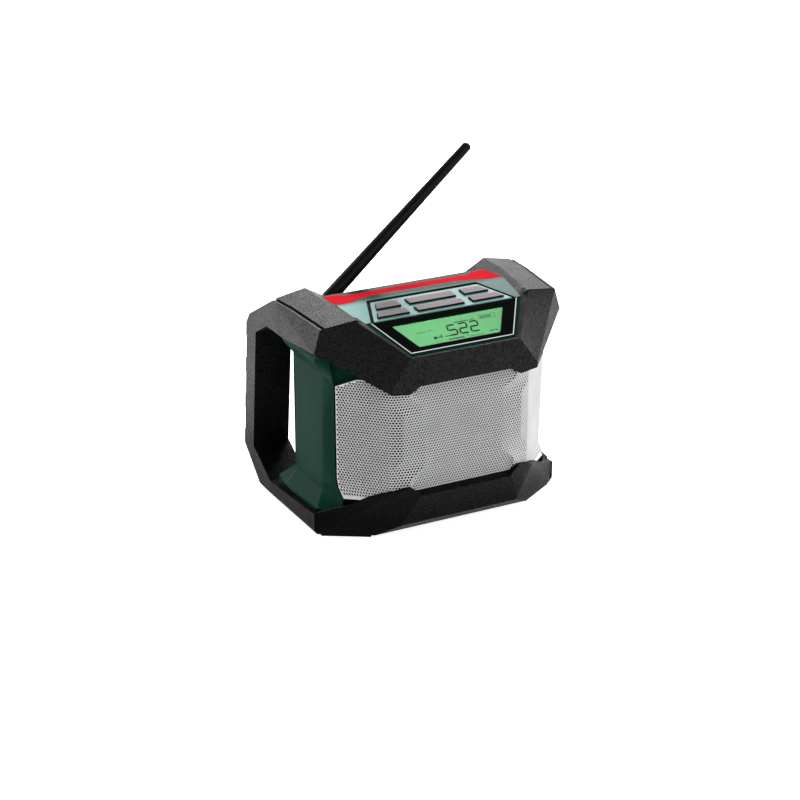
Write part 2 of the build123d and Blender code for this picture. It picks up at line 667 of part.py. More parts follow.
# ---------------------------------------------------------------- corner caps
caps = {}
for side, sign in (("left", -1), ("right", 1)):
    with BuildPart() as corner_cap:
        with BuildSketch(Plane.XY.offset(band_floor)):
            Polygon(*cap_seat(0.0), align=None)
        extrude(amount=20.0)
        cut_cap_planes(0.0)
        cap_middle_x = half_width - 24.0
        cut_facet(cap_front_in, cap_front_out, (cap_middle_x, -53.6, band_floor), (cap_middle_x, 0.0, band_floor))
        cut_facet(cap_front_in, cap_rear_in, console_corner, (half_width - 11.0, 0.0, band_floor))
        add(housing_outer, mode=Mode.SUBTRACT)
        with BuildSketch(Plane.XY.offset(band_floor)):
            with Locations((handle_inner + 6.0, band_front_y + 8.0)):
                Rectangle(handle_width - 15.0, 66.0, align=Align.MIN)
        extrude(amount=4.0, mode=Mode.SUBTRACT)
        if sign < 0:
            mirror(about=Plane.YZ, mode=Mode.REPLACE)
    caps[side] = corner_cap.part
    corner_cap.part.label = f"{side}_corner_cap"
    export_step(corner_cap.part, f"parts/{side}_corner_cap.step")

# ---------------------------------------------------------------- upper bumper: front bar and arms
bar_bezel = (56.9, 183.5)
bar_low = (76.9, 156.1)
bar_foot = (76.6, 150.9)
bar_inner = (51.0, 150.9)
bar_wall = (52.0, 181.5)
bar_bottom = 154.9
bar_notch = (58.9, 148.2)
bar_notch_start = 47.0
arm_end_in = (half_width - 35.2, 215.0)
arm_end_out = (half_width - 6.5, 206.2)
arm_end_low = (half_width - 0.6, 184.8)
arm_end_under = (62.0, 184.8)
arm_end_wall = (wing_fold_half + 4.0, 212.0)
bar_plane = Plane(origin=(0, bar_face_y, 0), x_dir=(1, 0, 0), z_dir=(0, -1, 0))

with BuildPart() as upper_bumper:
    with BuildSketch(bar_plane):
        Polygon(bar_bezel, bar_low, bar_foot, bar_inner, bar_wall, align=None)
    with BuildSketch(bar_plane.offset(bar_face_y - band_front_y)):
        Polygon(arm_end_in, arm_end_out, arm_end_low, arm_end_under, arm_end_wall, align=None)
    loft(ruled=True)
    cut_cap_planes(0.0)
    add(caps["right"], mode=Mode.SUBTRACT)
    mirror(about=Plane.YZ)
    bar_half = [(0.0, bar_bottom), (bar_notch_start, bar_bottom), bar_notch, bar_foot, bar_low]
    bar_half += [bar_bezel, (0.0, bar_bezel[1])]
    with BuildSketch(bar_plane):
        Polygon(*mirrored(bar_half), align=None)
    extrude(amount=bar_face_y - centre_y - baffle_depth)
    add(housing_outer, mode=Mode.SUBTRACT)
    add(grille_slot.part, mode=Mode.SUBTRACT)
upper_bumper.part.label = "upper_bumper"
export_step(upper_bumper.part, "parts/upper_bumper.step")

# ---------------------------------------------------------------- lower bumper: chin, climbing rims, base plate
rim_corner = (half_width, rim_front_y, rim_height)
chin_apex = (74.5, -100.5, 51.5)
rim_foot = (half_width - 3.0, -50.0, 4.0)
foot_front = (84.6, -74.7, 0.0)
chin_corner = (63.8, -93.5, 14.7)
ledge_corner = (48.0, -front_reach, 47.2)
ledge_back = (-99.0, 50.3)
ledge_half = 50.0
shoulder_top = (57.1, 56.4)
base_top = housing_floor
beam_rear_y, beam_height = 78.0, 14.0

rim_run = Vector(rim_corner[0] - chin_apex[0], rim_corner[1] - chin_apex[1]).normalized()


def behind_rim(y):
    """The point of the pocket's front edge at a given Y, a rim's wall behind the rim's outer face."""
    x = rim_corner[0] - rim_wall / rim_run.Y + (y - rim_corner[1]) * rim_run.X / rim_run.Y
    return (x, y)


with BuildPart() as lower_bumper:
    rim_line = [(ledge_half, ledge_back[1]), shoulder_top, (chin_apex[0], chin_apex[2] + 1.0)]
    rim_line += [(half_width, rim_height)]
    with BuildSketch(Plane(origin=(0, rim_front_y - 1.0, 0), x_dir=(1, 0, 0), z_dir=(0, -1, 0))):
        Polygon((0, 0), (0, ledge_back[1]), *rim_line, (half_width, 0), align=None)
    extrude(amount=front_reach + rim_front_y + 1.0)
    # base plate and rear beam
    with BuildSketch(Plane.XY.offset(foot_height)):
        with Locations((0, centre_y + baffle_depth)):
            Rectangle(handle_inner, beam_rear_y - centre_y - baffle_depth, align=Align.MIN)
    extrude(amount=base_top - foot_height)
    with BuildSketch(Plane.XY.offset(foot_height)):
        with Locations((0, rear_wall_y + part_gap)):
            Rectangle(handle_inner, beam_rear_y - rear_wall_y - part_gap, align=Align.MIN)
    extrude(amount=beam_height)
    cut_facet(rim_corner, chin_apex, rim_foot, body_middle)
    cut_facet(chin_apex, rim_foot, foot_front, body_middle)
    cut_facet(ledge_corner, chin_apex, chin_corner, body_middle)
    cut_facet(ledge_corner, (0.0, ledge_corner[1], ledge_corner[2]), chin_corner, body_middle)
    cut_facet(chin_corner, foot_front, (foot_front[0] - 30.0, foot_front[1], foot_front[2]), body_middle)
    # the ledge slopes up to the grille
    with BuildSketch(Plane.YZ):
        Polygon((-front_reach - 3.0, ledge_corner[2] - 1.4), ledge_back, (ledge_back[0], 52.0),
                (-front_reach - 3.0, 52.0), align=None)
    extrude(amount=ledge_half - 1.0, mode=Mode.SUBTRACT)
    # pocket between the rim and the flare
    with BuildSketch(Plane.XY.offset(rim_pocket_floor)):
        Polygon(behind_rim(rim_pocket_front), behind_rim(rim_pocket_rear),
                (behind_rim(rim_pocket_front)[0], rim_pocket_rear), align=None)
    extrude(amount=flare_high, mode=Mode.SUBTRACT)
    mirror(about=Plane.YZ)
    # everything under the feet's level, except the front feet
    with BuildSketch(Plane.XY):
        Rectangle(2 * foot_front[0], 2 * front_reach)
        with Locations((0, foot_front[1] + 24.0)):
            Rectangle(2 * half_width, front_reach, align=(Align.CENTER, Align.MIN))
    extrude(amount=foot_height, mode=Mode.SUBTRACT)
    add(housing_outer, mode=Mode.SUBTRACT)
    add(grille_slot.part, mode=Mode.SUBTRACT)
    # counterbored holes for the base screws
    for x in (-base_screw_x, base_screw_x):
        for y in (base_screw_front, base_screw_rear):
            with Locations((x, y, foot_height)):
                Cylinder(shank_r + part_gap, 10.0, mode=Mode.SUBTRACT)
                Cylinder(screw_head_r + part_gap, 2 * (screw_head_height + part_gap), mode=Mode.SUBTRACT)
lower_bumper.part.label = "lower_bumper"
export_step(lower_bumper.part, "parts/lower_bumper.step")

# ---------------------------------------------------------------- display
with BuildPart() as display_bezel:
    with BuildSketch(display_plane.offset(-inlay_depth)):
        trapezoid(bezel_low, bezel_high, island_low_half, island_fold_half)
    extrude(amount=inlay_depth)
    with BuildSketch(display_plane.offset(-inlay_depth)):
        trapezoid(window_low, window_high, window_low_half, window_high_half)
    extrude(amount=inlay_depth, mode=Mode.SUBTRACT)
display_bezel.part.label = "display_bezel"
export_step(display_bezel.part, "parts/display_bezel.step")

with BuildPart() as display_window:
    with BuildSketch(display_plane.offset(-inlay_depth)):
        trapezoid(window_low, window_high, window_low_half, window_high_half, -inlay_gap / 2)
    extrude(amount=window_thickness)
display_window.part.label = "display_window"
export_step(display_window.part, "parts/display_window.step")

with BuildPart() as lcd_panel:
    with BuildSketch(display_plane.offset(-inlay_depth - lcd_thickness)):
        trapezoid(window_low, window_high, window_low_half, window_high_half, lcd_margin)
    extrude(amount=lcd_thickness)
lcd_panel.part.label = "lcd_panel"
export_step(lcd_panel.part, "parts/lcd_panel.step")

with BuildPart() as lcd_backlight:
    with BuildSketch(display_plane.offset(-console_wall)):
        trapezoid(window_low, window_high, window_low_half, window_high_half, lcd_margin)
    extrude(amount=console_wall - inlay_depth - lcd_thickness)
lcd_backlight.part.label = "lcd_backlight"
export_step(lcd_backlight.part, "parts/lcd_backlight.step")

with BuildPart() as display_board:
    with BuildSketch(display_plane.offset(-console_wall - board_thickness)):
        trapezoid(window_low - 4.0, window_high + 3.0, window_low_half + 4.0, window_high_half + 5.0)
    extrude(amount=board_thickness)
display_board.part.label = "display_board"
export_step(display_board.part, "parts/display_board.step")

# ---------------------------------------------------------------- keypad
with BuildPart() as keypad_plate:
    with BuildSketch(keypad_plane.offset(-inlay_depth)):
        trapezoid(plate_low, plate_high, plate_low_half, plate_high_half)
    extrude(amount=inlay_depth)
    for row in (0, 1):
        for column in (-1, 0, 1):
            with BuildSketch(keypad_plane):
                key_shape(row, column, key_gap)
            extrude(amount=-2 * inlay_depth, mode=Mode.SUBTRACT)
keypad_plate.part.label = "keypad_plate"
export_step(keypad_plate.part, "parts/keypad_plate.step")

for row, row_name in enumerate(("upper", "lower")):
    for column, column_name in ((-1, "left"), (0, "center"), (1, "right")):
        with BuildPart() as key:
            with BuildSketch(keypad_plane.offset(-key_foot)):
                key_shape(row, column, 0.0)
            extrude(amount=key_foot + key_rise)
            fillet(key.faces().sort_by(Axis.Z)[-1].edges(), 0.5)
            with BuildSketch(keypad_plane.offset(-key_foot)):
                key_shape(row, column, key_flange)
            extrude(amount=key_flange_thickness)
        key.part.label = f"key_{row_name}_{column_name}"
        export_step(key.part, f"parts/key_{row_name}_{column_name}.step")

with BuildPart() as keypad_mat:
    with BuildSketch(keypad_plane.offset(-keypad_board_level)):
        with Locations((0, (keypad_post_low + keypad_post_high) / 2)):
            Rectangle(2 * (keypad_post_x - post_r - 1.0), keypad_post_high - keypad_post_low + 2 * post_r)
    extrude(amount=mat_thickness)
keypad_mat.part.label = "keypad_mat"
export_step(keypad_mat.part, "parts/keypad_mat.step")

with BuildPart() as keypad_board:
    with BuildSketch(keypad_plane.offset(-keypad_board_level - board_thickness)):
        with Locations((0, (keypad_post_low + keypad_post_high) / 2)):
            Rectangle(2 * (keypad_post_x + post_r), keypad_post_high - keypad_post_low + 2 * post_r)
    extrude(amount=board_thickness)
keypad_board.part.label = "keypad_board"
export_step(keypad_board.part, "parts/keypad_board.step")

with BuildPart() as accent_strip:
    with BuildSketch(strip_plane.offset(-strip_depth)):
        Polygon(*mirrored(strip_half_outline), align=None)
    extrude(amount=strip_depth)
accent_strip.part.label = "accent_strip"
export_step(accent_strip.part, "parts/accent_strip.step")

# ---------------------------------------------------------------- boards
with BuildPart() as main_board:
    with BuildSketch(Plane.XY.offset(board_level)):
        with Locations((0, (board_post_front + board_post_rear) / 2)):
            Rectangle(2 * (board_post_x + 2 * post_r), board_post_rear - board_post_front + 4 * post_r)
    extrude(amount=board_thickness)
main_board.part.label = "main_board"
export_step(main_board.part, "parts/main_board.step")

board_top = board_level + board_thickness
with BuildPart() as board_components:
    with BuildSketch(Plane.XY.offset(board_top)):
        for x in capacitor_x:
            with Locations((x, capacitor_y)):
                Circle(capacitor_r)
        with Locations(chip_centre):
            Rectangle(chip_width, chip_width)
        with Locations(coil_centre):
            Rectangle(*coil_size)
    extrude(amount=component_height)
board_components.part.label = "board_components"
export_step(board_components.part, "parts/board_components.step")

with BuildPart() as heat_sink:
    with BuildSketch(Plane.XY.offset(board_top)):
        with Locations(sink_centre):
            Rectangle(sink_width, sink_width)
    extrude(amount=sink_base)
    with BuildSketch(Plane.XY.offset(board_top + sink_base)):
        with Locations(sink_centre):
            with GridLocations(fin_pitch, 0, fin_count, 1):
                Rectangle(fin_width, sink_width)
    extrude(amount=fin_height)
heat_sink.part.label = "heat_sink"
export_step(heat_sink.part, "parts/heat_sink.step")

ribbon_top = along(keypad_plane, 0, ribbon_y - console_fold[0], -keypad_board_level - board_thickness)
with BuildPart() as ribbon_cable:
    with BuildSketch(Plane.XY.offset(board_top)):
        with Locations((0, ribbon_y)):
            Rectangle(ribbon_width, ribbon_thickness)
    extrude(amount=ribbon_top.Z - board_top - part_gap)
ribbon_cable.part.label = "ribbon_cable"
export_step(ribbon_cable.part, "parts/ribbon_cable.step")

# ---------------------------------------------------------------- loudspeakers
speaker_y = centre_y + baffle_depth + wall
magnet_y = speaker_depth - magnet_length
for side, sign in (("left", -1), ("right", 1)):
    centre = (sign * speaker_x, speaker_y, speaker_z)
    turning = Plane(origin=centre, x_dir=(1, 0, 0), z_dir=(0, 0, 1))
    spin = Axis(centre, (0, 1, 0))
    back_view = Plane(origin=centre, x_dir=(1, 0, 0), z_dir=(0, 1, 0))
    with BuildPart() as speaker_basket:
        with BuildSketch(turning):
            Polygon((flange_inner_r, 0), (speaker_flange_r, 0), (speaker_flange_r, flange_thickness),
                    (flange_inner_r + 2, flange_thickness), (magnet_r - 1, magnet_y), (pole_hole_r, magnet_y),
                    (pole_hole_r, magnet_y - 2), (magnet_r - 3, magnet_y - 2),
                    (flange_inner_r, flange_thickness), align=None)
        revolve(axis=spin)
        with BuildSketch(back_view):
            with PolarLocations(speaker_screw_circle, 4, start_angle=45):
                Circle(shank_r + part_gap)
        extrude(amount=flange_thickness, mode=Mode.SUBTRACT)
        with BuildSketch(back_view.offset(magnet_y / 2 + 1)):
            with PolarLocations(magnet_r + 2, 4):
                Rectangle(10.0, 16.0)
        extrude(amount=magnet_y / 2 - 4.5, mode=Mode.SUBTRACT)
    speaker_basket.part.label = f"{side}_speaker_basket"
    export_step(speaker_basket.part, f"parts/{side}_speaker_basket.step")

    with BuildPart() as speaker_magnet:
        with BuildSketch(back_view.offset(magnet_y)):
            Circle(magnet_r)
        extrude(amount=magnet_length)
        with BuildSketch(back_view.offset(magnet_y - pole_length)):
            Circle(pole_r)
        extrude(amount=pole_length)
    speaker_magnet.part.label = f"{side}_speaker_magnet"
    export_step(speaker_magnet.part, f"parts/{side}_speaker_magnet.step")

    with BuildPart() as speaker_surround:
        with BuildSketch(turning):
            roll = (cone_r + cone_gap + surround_outer_r) / 2
            with Locations((roll, -1.0)):
                Circle(1.6)
            Polygon((cone_r + cone_gap, -1.0), (surround_outer_r, -1.0),
                    (surround_outer_r, 0.0), (cone_r + cone_gap, 0.0),
                    align=None)
            with Locations((roll, 2.0)):
                Rectangle(8.0, 4.0, mode=Mode.SUBTRACT)
        revolve(axis=spin)
    speaker_surround.part.label = f"{side}_speaker_surround"
    export_step(speaker_surround.part, f"parts/{side}_speaker_surround.step")

    with BuildPart() as speaker_cone:
        with BuildSketch(turning):
            Polygon((cone_r, -1.0), (cone_r, 0.0), (cone_throat_r, cone_depth),
                    (cone_throat_r, cone_depth + coil_length),
                    (cone_throat_r - cone_thickness, cone_depth + coil_length),
                    (cone_throat_r - cone_thickness, cone_depth - 1.0),
                    (0.0, cone_depth - 5.0), (0.0, cone_depth - 6.0),
                    (cone_throat_r + 1.0, cone_depth - 2.6), align=None)
        revolve(axis=spin)
    speaker_cone.part.label = f"{side}_speaker_cone"
    export_step(speaker_cone.part, f"parts/{side}_speaker_cone.step")

with BuildPart() as speaker_screws:
    for x in (-speaker_x, speaker_x):
        seat = Plane(origin=(x, speaker_y + flange_thickness, speaker_z), x_dir=(1, 0, 0), z_dir=(0, 1, 0))
        with BuildSketch(seat):
            with PolarLocations(speaker_screw_circle, 4, start_angle=45):
                Circle(screw_head_r - 0.4)
        extrude(amount=screw_head_height - 0.4)
        with BuildSketch(seat):
            with PolarLocations(speaker_screw_circle, 4, start_angle=45):
                Circle(shank_r)
        extrude(amount=-flange_thickness - wall + 0.8)
speaker_screws.part.label = "speaker_screws"
export_step(speaker_screws.part, "parts/speaker_screws.step")

# ---------------------------------------------------------------- antenna
lean = radians(antenna_lean)
rod_way = Vector(sin(lean), 0, cos(lean))
pin_way = Vector(cos(lean), 0, -sin(lean))
pivot = (antenna_x, antenna_y, antenna_z)
knuckle_plane = Plane(origin=pivot, x_dir=rod_way, z_dir=pin_way)       # local Y points at the housing
wall_view = Plane(origin=(antenna_x, shoulder_rear_y, antenna_z), x_dir=(1, 0, 0), z_dir=(0, 1, 0))

with BuildPart() as antenna_socket:
    with BuildSketch(wall_view):
        Circle(socket_r)
        Circle(stub_r + running_gap, mode=Mode.SUBTRACT)
    extrude(amount=socket_height)
    fillet(antenna_socket.edges().filter_by(GeomType.CIRCLE).group_by(Axis.Y)[-1].sort_by(SortBy.RADIUS)[-1], 0.8)
antenna_socket.part.label = "antenna_socket"
export_step(antenna_socket.part, "parts/antenna_socket.step")

disc_gap = antenna_y - shoulder_rear_y - socket_height - part_gap
with BuildPart() as antenna_knuckle:
    with BuildSketch(wall_view.offset(part_gap)):
        Circle(stub_r)
    extrude(amount=socket_height + part_gap)
    with BuildSketch(wall_view.offset(socket_height + part_gap)):
        Circle(knuckle_r)
    extrude(amount=disc_thickness)
    for start in (-eye_thickness / 2 - cheek_gap - cheek_thickness, eye_thickness / 2 + cheek_gap):
        with BuildSketch(knuckle_plane.offset(start)):
            Circle(eye_r)
            Rectangle(2 * eye_r, disc_gap - disc_thickness / 2, align=(Align.CENTER, Align.MIN))
            Circle(antenna_pin_r + thread_gap, mode=Mode.SUBTRACT)
        extrude(amount=cheek_thickness)
antenna_knuckle.part.label = "antenna_knuckle"
export_step(antenna_knuckle.part, "parts/antenna_knuckle.step")

with BuildPart() as antenna_pin:
    with BuildSketch(knuckle_plane.offset(-pin_length / 2)):
        Circle(antenna_pin_r)
    extrude(amount=pin_length)
antenna_pin.part.label = "antenna_pin"
export_step(antenna_pin.part, "parts/antenna_pin.step")

with BuildPart() as antenna_rod:
    with BuildSketch(knuckle_plane.offset(-eye_thickness / 2)):
        Circle(eye_r)
        Rectangle(rod_start + 1.0, 2 * eye_r - 3.0, align=(Align.MIN, Align.CENTER))
    extrude(amount=eye_thickness)
    with BuildSketch(knuckle_plane):
        Polygon((rod_start, 0), (rod_start, rod_foot_r - 1.0), (rod_start + 1.0, rod_foot_r),
                (antenna_length - 2.0, rod_tip_r), (antenna_length, rod_tip_r - 2.0), (antenna_length, 0), align=None)
    revolve(axis=Axis(pivot, rod_way))
    with BuildSketch(knuckle_plane.offset(-eye_thickness)):
        Circle(antenna_pin_r + running_gap)
    extrude(amount=2 * eye_thickness, mode=Mode.SUBTRACT)
antenna_rod.part.label = "antenna_rod"
export_step(antenna_rod.part, "parts/antenna_rod.step")

# ---------------------------------------------------------------- battery pack and its terminal block
pack_front = rear_wall_y + pack_gap
cell_front = rear_wall_y + rail_reach + rail_gap + 1.0
block_half, block_depth, block_low, block_high = 14.0, 6.0, pack_low + 2.0, pack_low + 10.0
blade_places = (-9.0, -3.0, 3.0, 9.0)
blade_top = block_high + 12.0
blade_front, blade_back = rear_wall_y + 2.8, rear_wall_y + 5.6

with BuildPart() as terminal_block:
    with BuildSketch(Plane.XY.offset(block_low)):
        with Locations((0, rear_wall_y)):
            Rectangle(2 * block_half, block_depth, align=(Align.CENTER, Align.MIN))
    extrude(amount=block_high - block_low)
    with BuildSketch(Plane.XY.offset(block_high)):
        for x in blade_places:
            with Locations((x, blade_front)):
                Rectangle(0.8, blade_back - blade_front, align=(Align.CENTER, Align.MIN))
    extrude(amount=blade_top - block_high)
terminal_block.part.label = "terminal_block"
export_step(terminal_block.part, "parts/terminal_block.step")

with BuildPart() as battery_case:
    with BuildSketch(Plane.XY.offset(pack_low)):
        with Locations((0, pack_front)):
            Rectangle(2 * pack_half, pack_depth, align=(Align.CENTER, Align.MIN))
    extrude(amount=pack_high - pack_low)
    fillet(battery_case.edges().filter_by(Axis.Z), 4.0)
    chamfer(battery_case.faces().sort_by(Axis.Z)[0].edges(), 1.2)
    # room for the cells, open at the top
    with BuildSketch(Plane.XY.offset(pack_low + wall)):
        with Locations((0, cell_front)):
            Rectangle(2 * (pack_half - wall), pack_front + pack_depth - wall - cell_front, align=(Align.CENTER, Align.MIN))
    extrude(amount=pack_high, mode=Mode.SUBTRACT)
    # channels for the rails, the terminal block and its blades
    with BuildSketch(Plane.XY.offset(pack_low)):
        for x in (-rail_x, rail_x):
            with Locations((x, pack_front - 1.0)):
                Rectangle(rail_stem + 2 * rail_gap, rail_reach, align=(Align.CENTER, Align.MIN))
            with Locations((x, rear_wall_y + rail_reach + rail_gap)):
                Rectangle(rail_head + 2 * rail_gap, rail_head_depth + 2 * rail_gap, align=(Align.CENTER, Align.MAX))
    extrude(amount=rail_high + rail_gap - pack_low, mode=Mode.SUBTRACT)
    with BuildSketch(Plane.XY.offset(pack_low)):
        with Locations((0, pack_front - 1.0)):
            Rectangle(2 * (block_half + 1.0), block_depth, align=(Align.CENTER, Align.MIN))
    extrude(amount=block_high + 1.0 - pack_low, mode=Mode.SUBTRACT)
    with BuildSketch(Plane.XY.offset(pack_low)):
        for x in blade_places:
            with Locations((x, pack_front - 1.0)):
                Rectangle(1.8, blade_back + 1.6 - pack_front, align=(Align.CENTER, Align.MIN))
    extrude(amount=blade_top + 1.5 - pack_low, mode=Mode.SUBTRACT)
battery_case.part.label = "battery_case"
export_step(battery_case.part, "parts/battery_case.step")

lid_high = pack_high + lid_height
with BuildPart() as battery_lid:
    with BuildSketch(Plane.XY.offset(pack_high)):
        with Locations((0, pack_front)):
            Rectangle(2 * pack_half, pack_depth, align=(Align.CENTER, Align.MIN))
    extrude(amount=lid_height)
    fillet(battery_lid.edges().filter_by(Axis.Z), 4.0)
    chamfer(battery_lid.faces().sort_by(Axis.Z)[-1].edges(), 1.2)
    with BuildSketch(Plane.XZ.offset(-(pack_front + pack_depth))):
        with Locations((0, pack_high + lid_height / 2)):
            Rectangle(2 * (button_half + part_gap), button_height + 2 * part_gap)
    extrude(amount=button_depth, mode=Mode.SUBTRACT)
battery_lid.part.label = "battery_lid"
export_step(battery_lid.part, "parts/battery_lid.step")

with BuildPart() as battery_button:
    with BuildSketch(Plane.XZ.offset(-(pack_front + pack_depth + button_rise))):
        with Locations((0, pack_high + lid_height / 2)):
            Rectangle(2 * button_half, button_height)
    extrude(amount=button_depth + button_rise - button_travel - part_gap)
    fillet(battery_button.faces().sort_by(Axis.Y)[-1].edges(), 0.5)
battery_button.part.label = "battery_button"
export_step(battery_button.part, "parts/battery_button.step")

with BuildPart() as battery_cells:
    for row in range(5):
        for column in (0, 1):
            y = cell_front + part_gap + cell_r + column * (2 * cell_r + part_gap)
            z = pack_low + wall + cell_r + row * (2 * cell_r + part_gap)
            with BuildSketch(Plane(origin=(-cell_length / 2, y, z), x_dir=(0, 1, 0), z_dir=(1, 0, 0))):
                Circle(cell_r)
            extrude(amount=cell_length)
    # the metal strips that join the cells' ends
    for x in (-cell_length / 2 - 0.5, cell_length / 2):
        with BuildSketch(Plane.YZ.offset(x)):
            with Locations((cell_front + part_gap + cell_r - 4.0, pack_low + wall + cell_r - 4.0)):
                Rectangle(2 * cell_r + 8.0, 8 * cell_r + 9.0, align=Align.MIN)
        extrude(amount=0.5)
battery_cells.part.label = "battery_cells"
export_step(battery_cells.part, "parts/battery_cells.step")

# ---------------------------------------------------------------- sockets and their cover
for (x, r), name, bore in zip(port_holes, ("aux_socket", "power_socket"), (1.8, 2.8)):
    inner_face = Plane(origin=(x, rear_wall_y - wall, port_z), x_dir=(1, 0, 0), z_dir=(0, 1, 0))
    with BuildPart() as socket:
        with BuildSketch(inner_face):
            Rectangle(10.6, 12.0)
        extrude(amount=-10.0)
        with BuildSketch(inner_face):
            Circle(r)
        extrude(amount=wall - 0.4)
        with BuildSketch(inner_face.offset(wall)):
            Circle(bore)
        extrude(amount=-10.0, mode=Mode.SUBTRACT)
    socket.part.label = name
    export_step(socket.part, f"parts/{name}.step")

with BuildPart() as port_cover:
    with BuildSketch(Plane.YZ.offset(flap_left)):
        with Locations((flap_barrel_y, flap_hinge_z)):
            Circle(flap_barrel_r)
        with Locations((rear_wall_y + 0.6, flap_hinge_z)):
            Rectangle(2.2, flap_top - flap_hinge_z, align=Align.MIN)
    extrude(amount=flap_right - flap_left)
    with BuildSketch(Plane.YZ.offset(flap_left - ear_width)):
        with Locations((flap_barrel_y, flap_hinge_z)):
            Circle(flap_pin_r)
    extrude(amount=flap_right - flap_left + 2 * ear_width)
    with BuildSketch(Plane.XY.offset(flap_top - 2.4)):
        with Locations(((flap_left + flap_right) / 2, rear_wall_y + 2.8)):
            Rectangle(9.0, 1.6, align=(Align.CENTER, Align.MIN))
    extrude(amount=2.4)
port_cover.part.label = "port_cover"
export_step(port_cover.part, "parts/port_cover.step")

# ---------------------------------------------------------------- fasteners
with BuildPart() as housing_screws:
    for x in (-tower_x, tower_x):
        for z in tower_levels:
            seat = Plane(origin=(x, screw_seat_y, z), x_dir=(1, 0, 0), z_dir=(0, 1, 0))
            with BuildSketch(seat):
                Circle(screw_head_r)
            extrude(amount=screw_head_height)
            with BuildSketch(seat):
                Circle(shank_r)
            extrude(amount=-screw_length)
housing_screws.part.label = "housing_screws"
export_step(housing_screws.part, "parts/housing_screws.step")

with BuildPart() as base_screws:
    for x in (-base_screw_x, base_screw_x):
        for y in (base_screw_front, base_screw_rear):
            with BuildSketch(Plane.XY.offset(foot_height + part_gap)):
                with Locations((x, y)):
                    Circle(screw_head_r)
            extrude(amount=screw_head_height)
            with BuildSketch(Plane.XY.offset(foot_height + part_gap)):
                with Locations((x, y)):
                    Circle(shank_r)
            extrude(amount=base_top + wall - foot_height - 2 * part_gap)
base_screws.part.label = "base_screws"
export_step(base_screws.part, "parts/base_screws.step")
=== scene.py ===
import json
import math

import bmesh
import bpy
import numpy as np
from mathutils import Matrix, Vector


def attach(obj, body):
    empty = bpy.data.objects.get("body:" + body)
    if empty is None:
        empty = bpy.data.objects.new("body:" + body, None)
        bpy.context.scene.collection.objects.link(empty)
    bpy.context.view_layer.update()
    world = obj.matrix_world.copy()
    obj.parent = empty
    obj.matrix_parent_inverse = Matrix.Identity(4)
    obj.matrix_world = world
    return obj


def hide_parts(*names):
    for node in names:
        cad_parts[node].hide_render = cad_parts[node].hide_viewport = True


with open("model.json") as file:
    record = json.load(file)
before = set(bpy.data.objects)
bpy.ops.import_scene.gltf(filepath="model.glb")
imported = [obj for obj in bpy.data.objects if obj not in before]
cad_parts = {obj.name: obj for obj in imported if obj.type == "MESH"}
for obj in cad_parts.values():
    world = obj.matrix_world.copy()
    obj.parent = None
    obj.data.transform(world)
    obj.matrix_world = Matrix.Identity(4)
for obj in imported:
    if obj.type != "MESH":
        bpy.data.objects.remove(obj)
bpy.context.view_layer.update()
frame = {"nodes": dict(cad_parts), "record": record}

scene = bpy.context.scene
nodes = frame["nodes"]
mm = 0.001

# ---- camera
shot = {"place": (-0.85712, -1.58354, 0.82518), "azimuth": 28.03, "elevation": 22.05,
        "lens": 90.24, "sensor": 36}


def makeCamera():
    turn, tip = math.radians(shot["azimuth"]), math.radians(shot["elevation"])
    look = Vector((math.sin(turn) * math.cos(tip), math.cos(turn) * math.cos(tip), -math.sin(tip)))
    data = bpy.data.cameras.new("camera")
    data.lens = shot["lens"]
    data.sensor_width = shot["sensor"]
    camera = bpy.data.objects.new("camera", data)
    camera.location = shot["place"]
    camera.rotation_mode = "QUATERNION"
    camera.rotation_quaternion = look.to_track_quat("-Z", "Y")
    scene.collection.objects.link(camera)
    scene.camera = camera


makeCamera()
print("camera made")


# ---- helpers that add one node each and hand back its output
def addNoise(tree, place, scale, detail=2):
    node = tree.nodes.new("ShaderNodeTexNoise")
    node.inputs["Scale"].default_value = scale
    node.inputs["Detail"].default_value = detail
    tree.links.new(place.outputs["Object"], node.inputs["Vector"])
    return node.outputs["Fac"]


def addRange(tree, source, spanIn, spanOut=(0.0, 1.0)):
    node = tree.nodes.new("ShaderNodeMapRange")
    node.inputs["From Min"].default_value, node.inputs["From Max"].default_value = spanIn
    node.inputs["To Min"].default_value, node.inputs["To Max"].default_value = spanOut
    tree.links.new(source, node.inputs["Value"])
    return node.outputs["Result"]


def addScaled(tree, colour, factor):
    node = tree.nodes.new("ShaderNodeVectorMath")
    node.operation = "SCALE"
    if isinstance(colour, tuple):
        node.inputs[0].default_value = colour
    else:
        tree.links.new(colour, node.inputs[0])
    tree.links.new(factor, node.inputs["Scale"])
    return node.outputs["Vector"]


def addMath(tree, operation, first, second):
    node = tree.nodes.new("ShaderNodeMath")
    node.operation = operation
    tree.links.new(first, node.inputs[0])
    tree.links.new(second, node.inputs[1])
    return node.outputs["Value"]


def addAxis(tree, vector, axis):
    node = tree.nodes.new("ShaderNodeSeparateXYZ")
    tree.links.new(vector, node.inputs["Vector"])
    return node.outputs[axis]


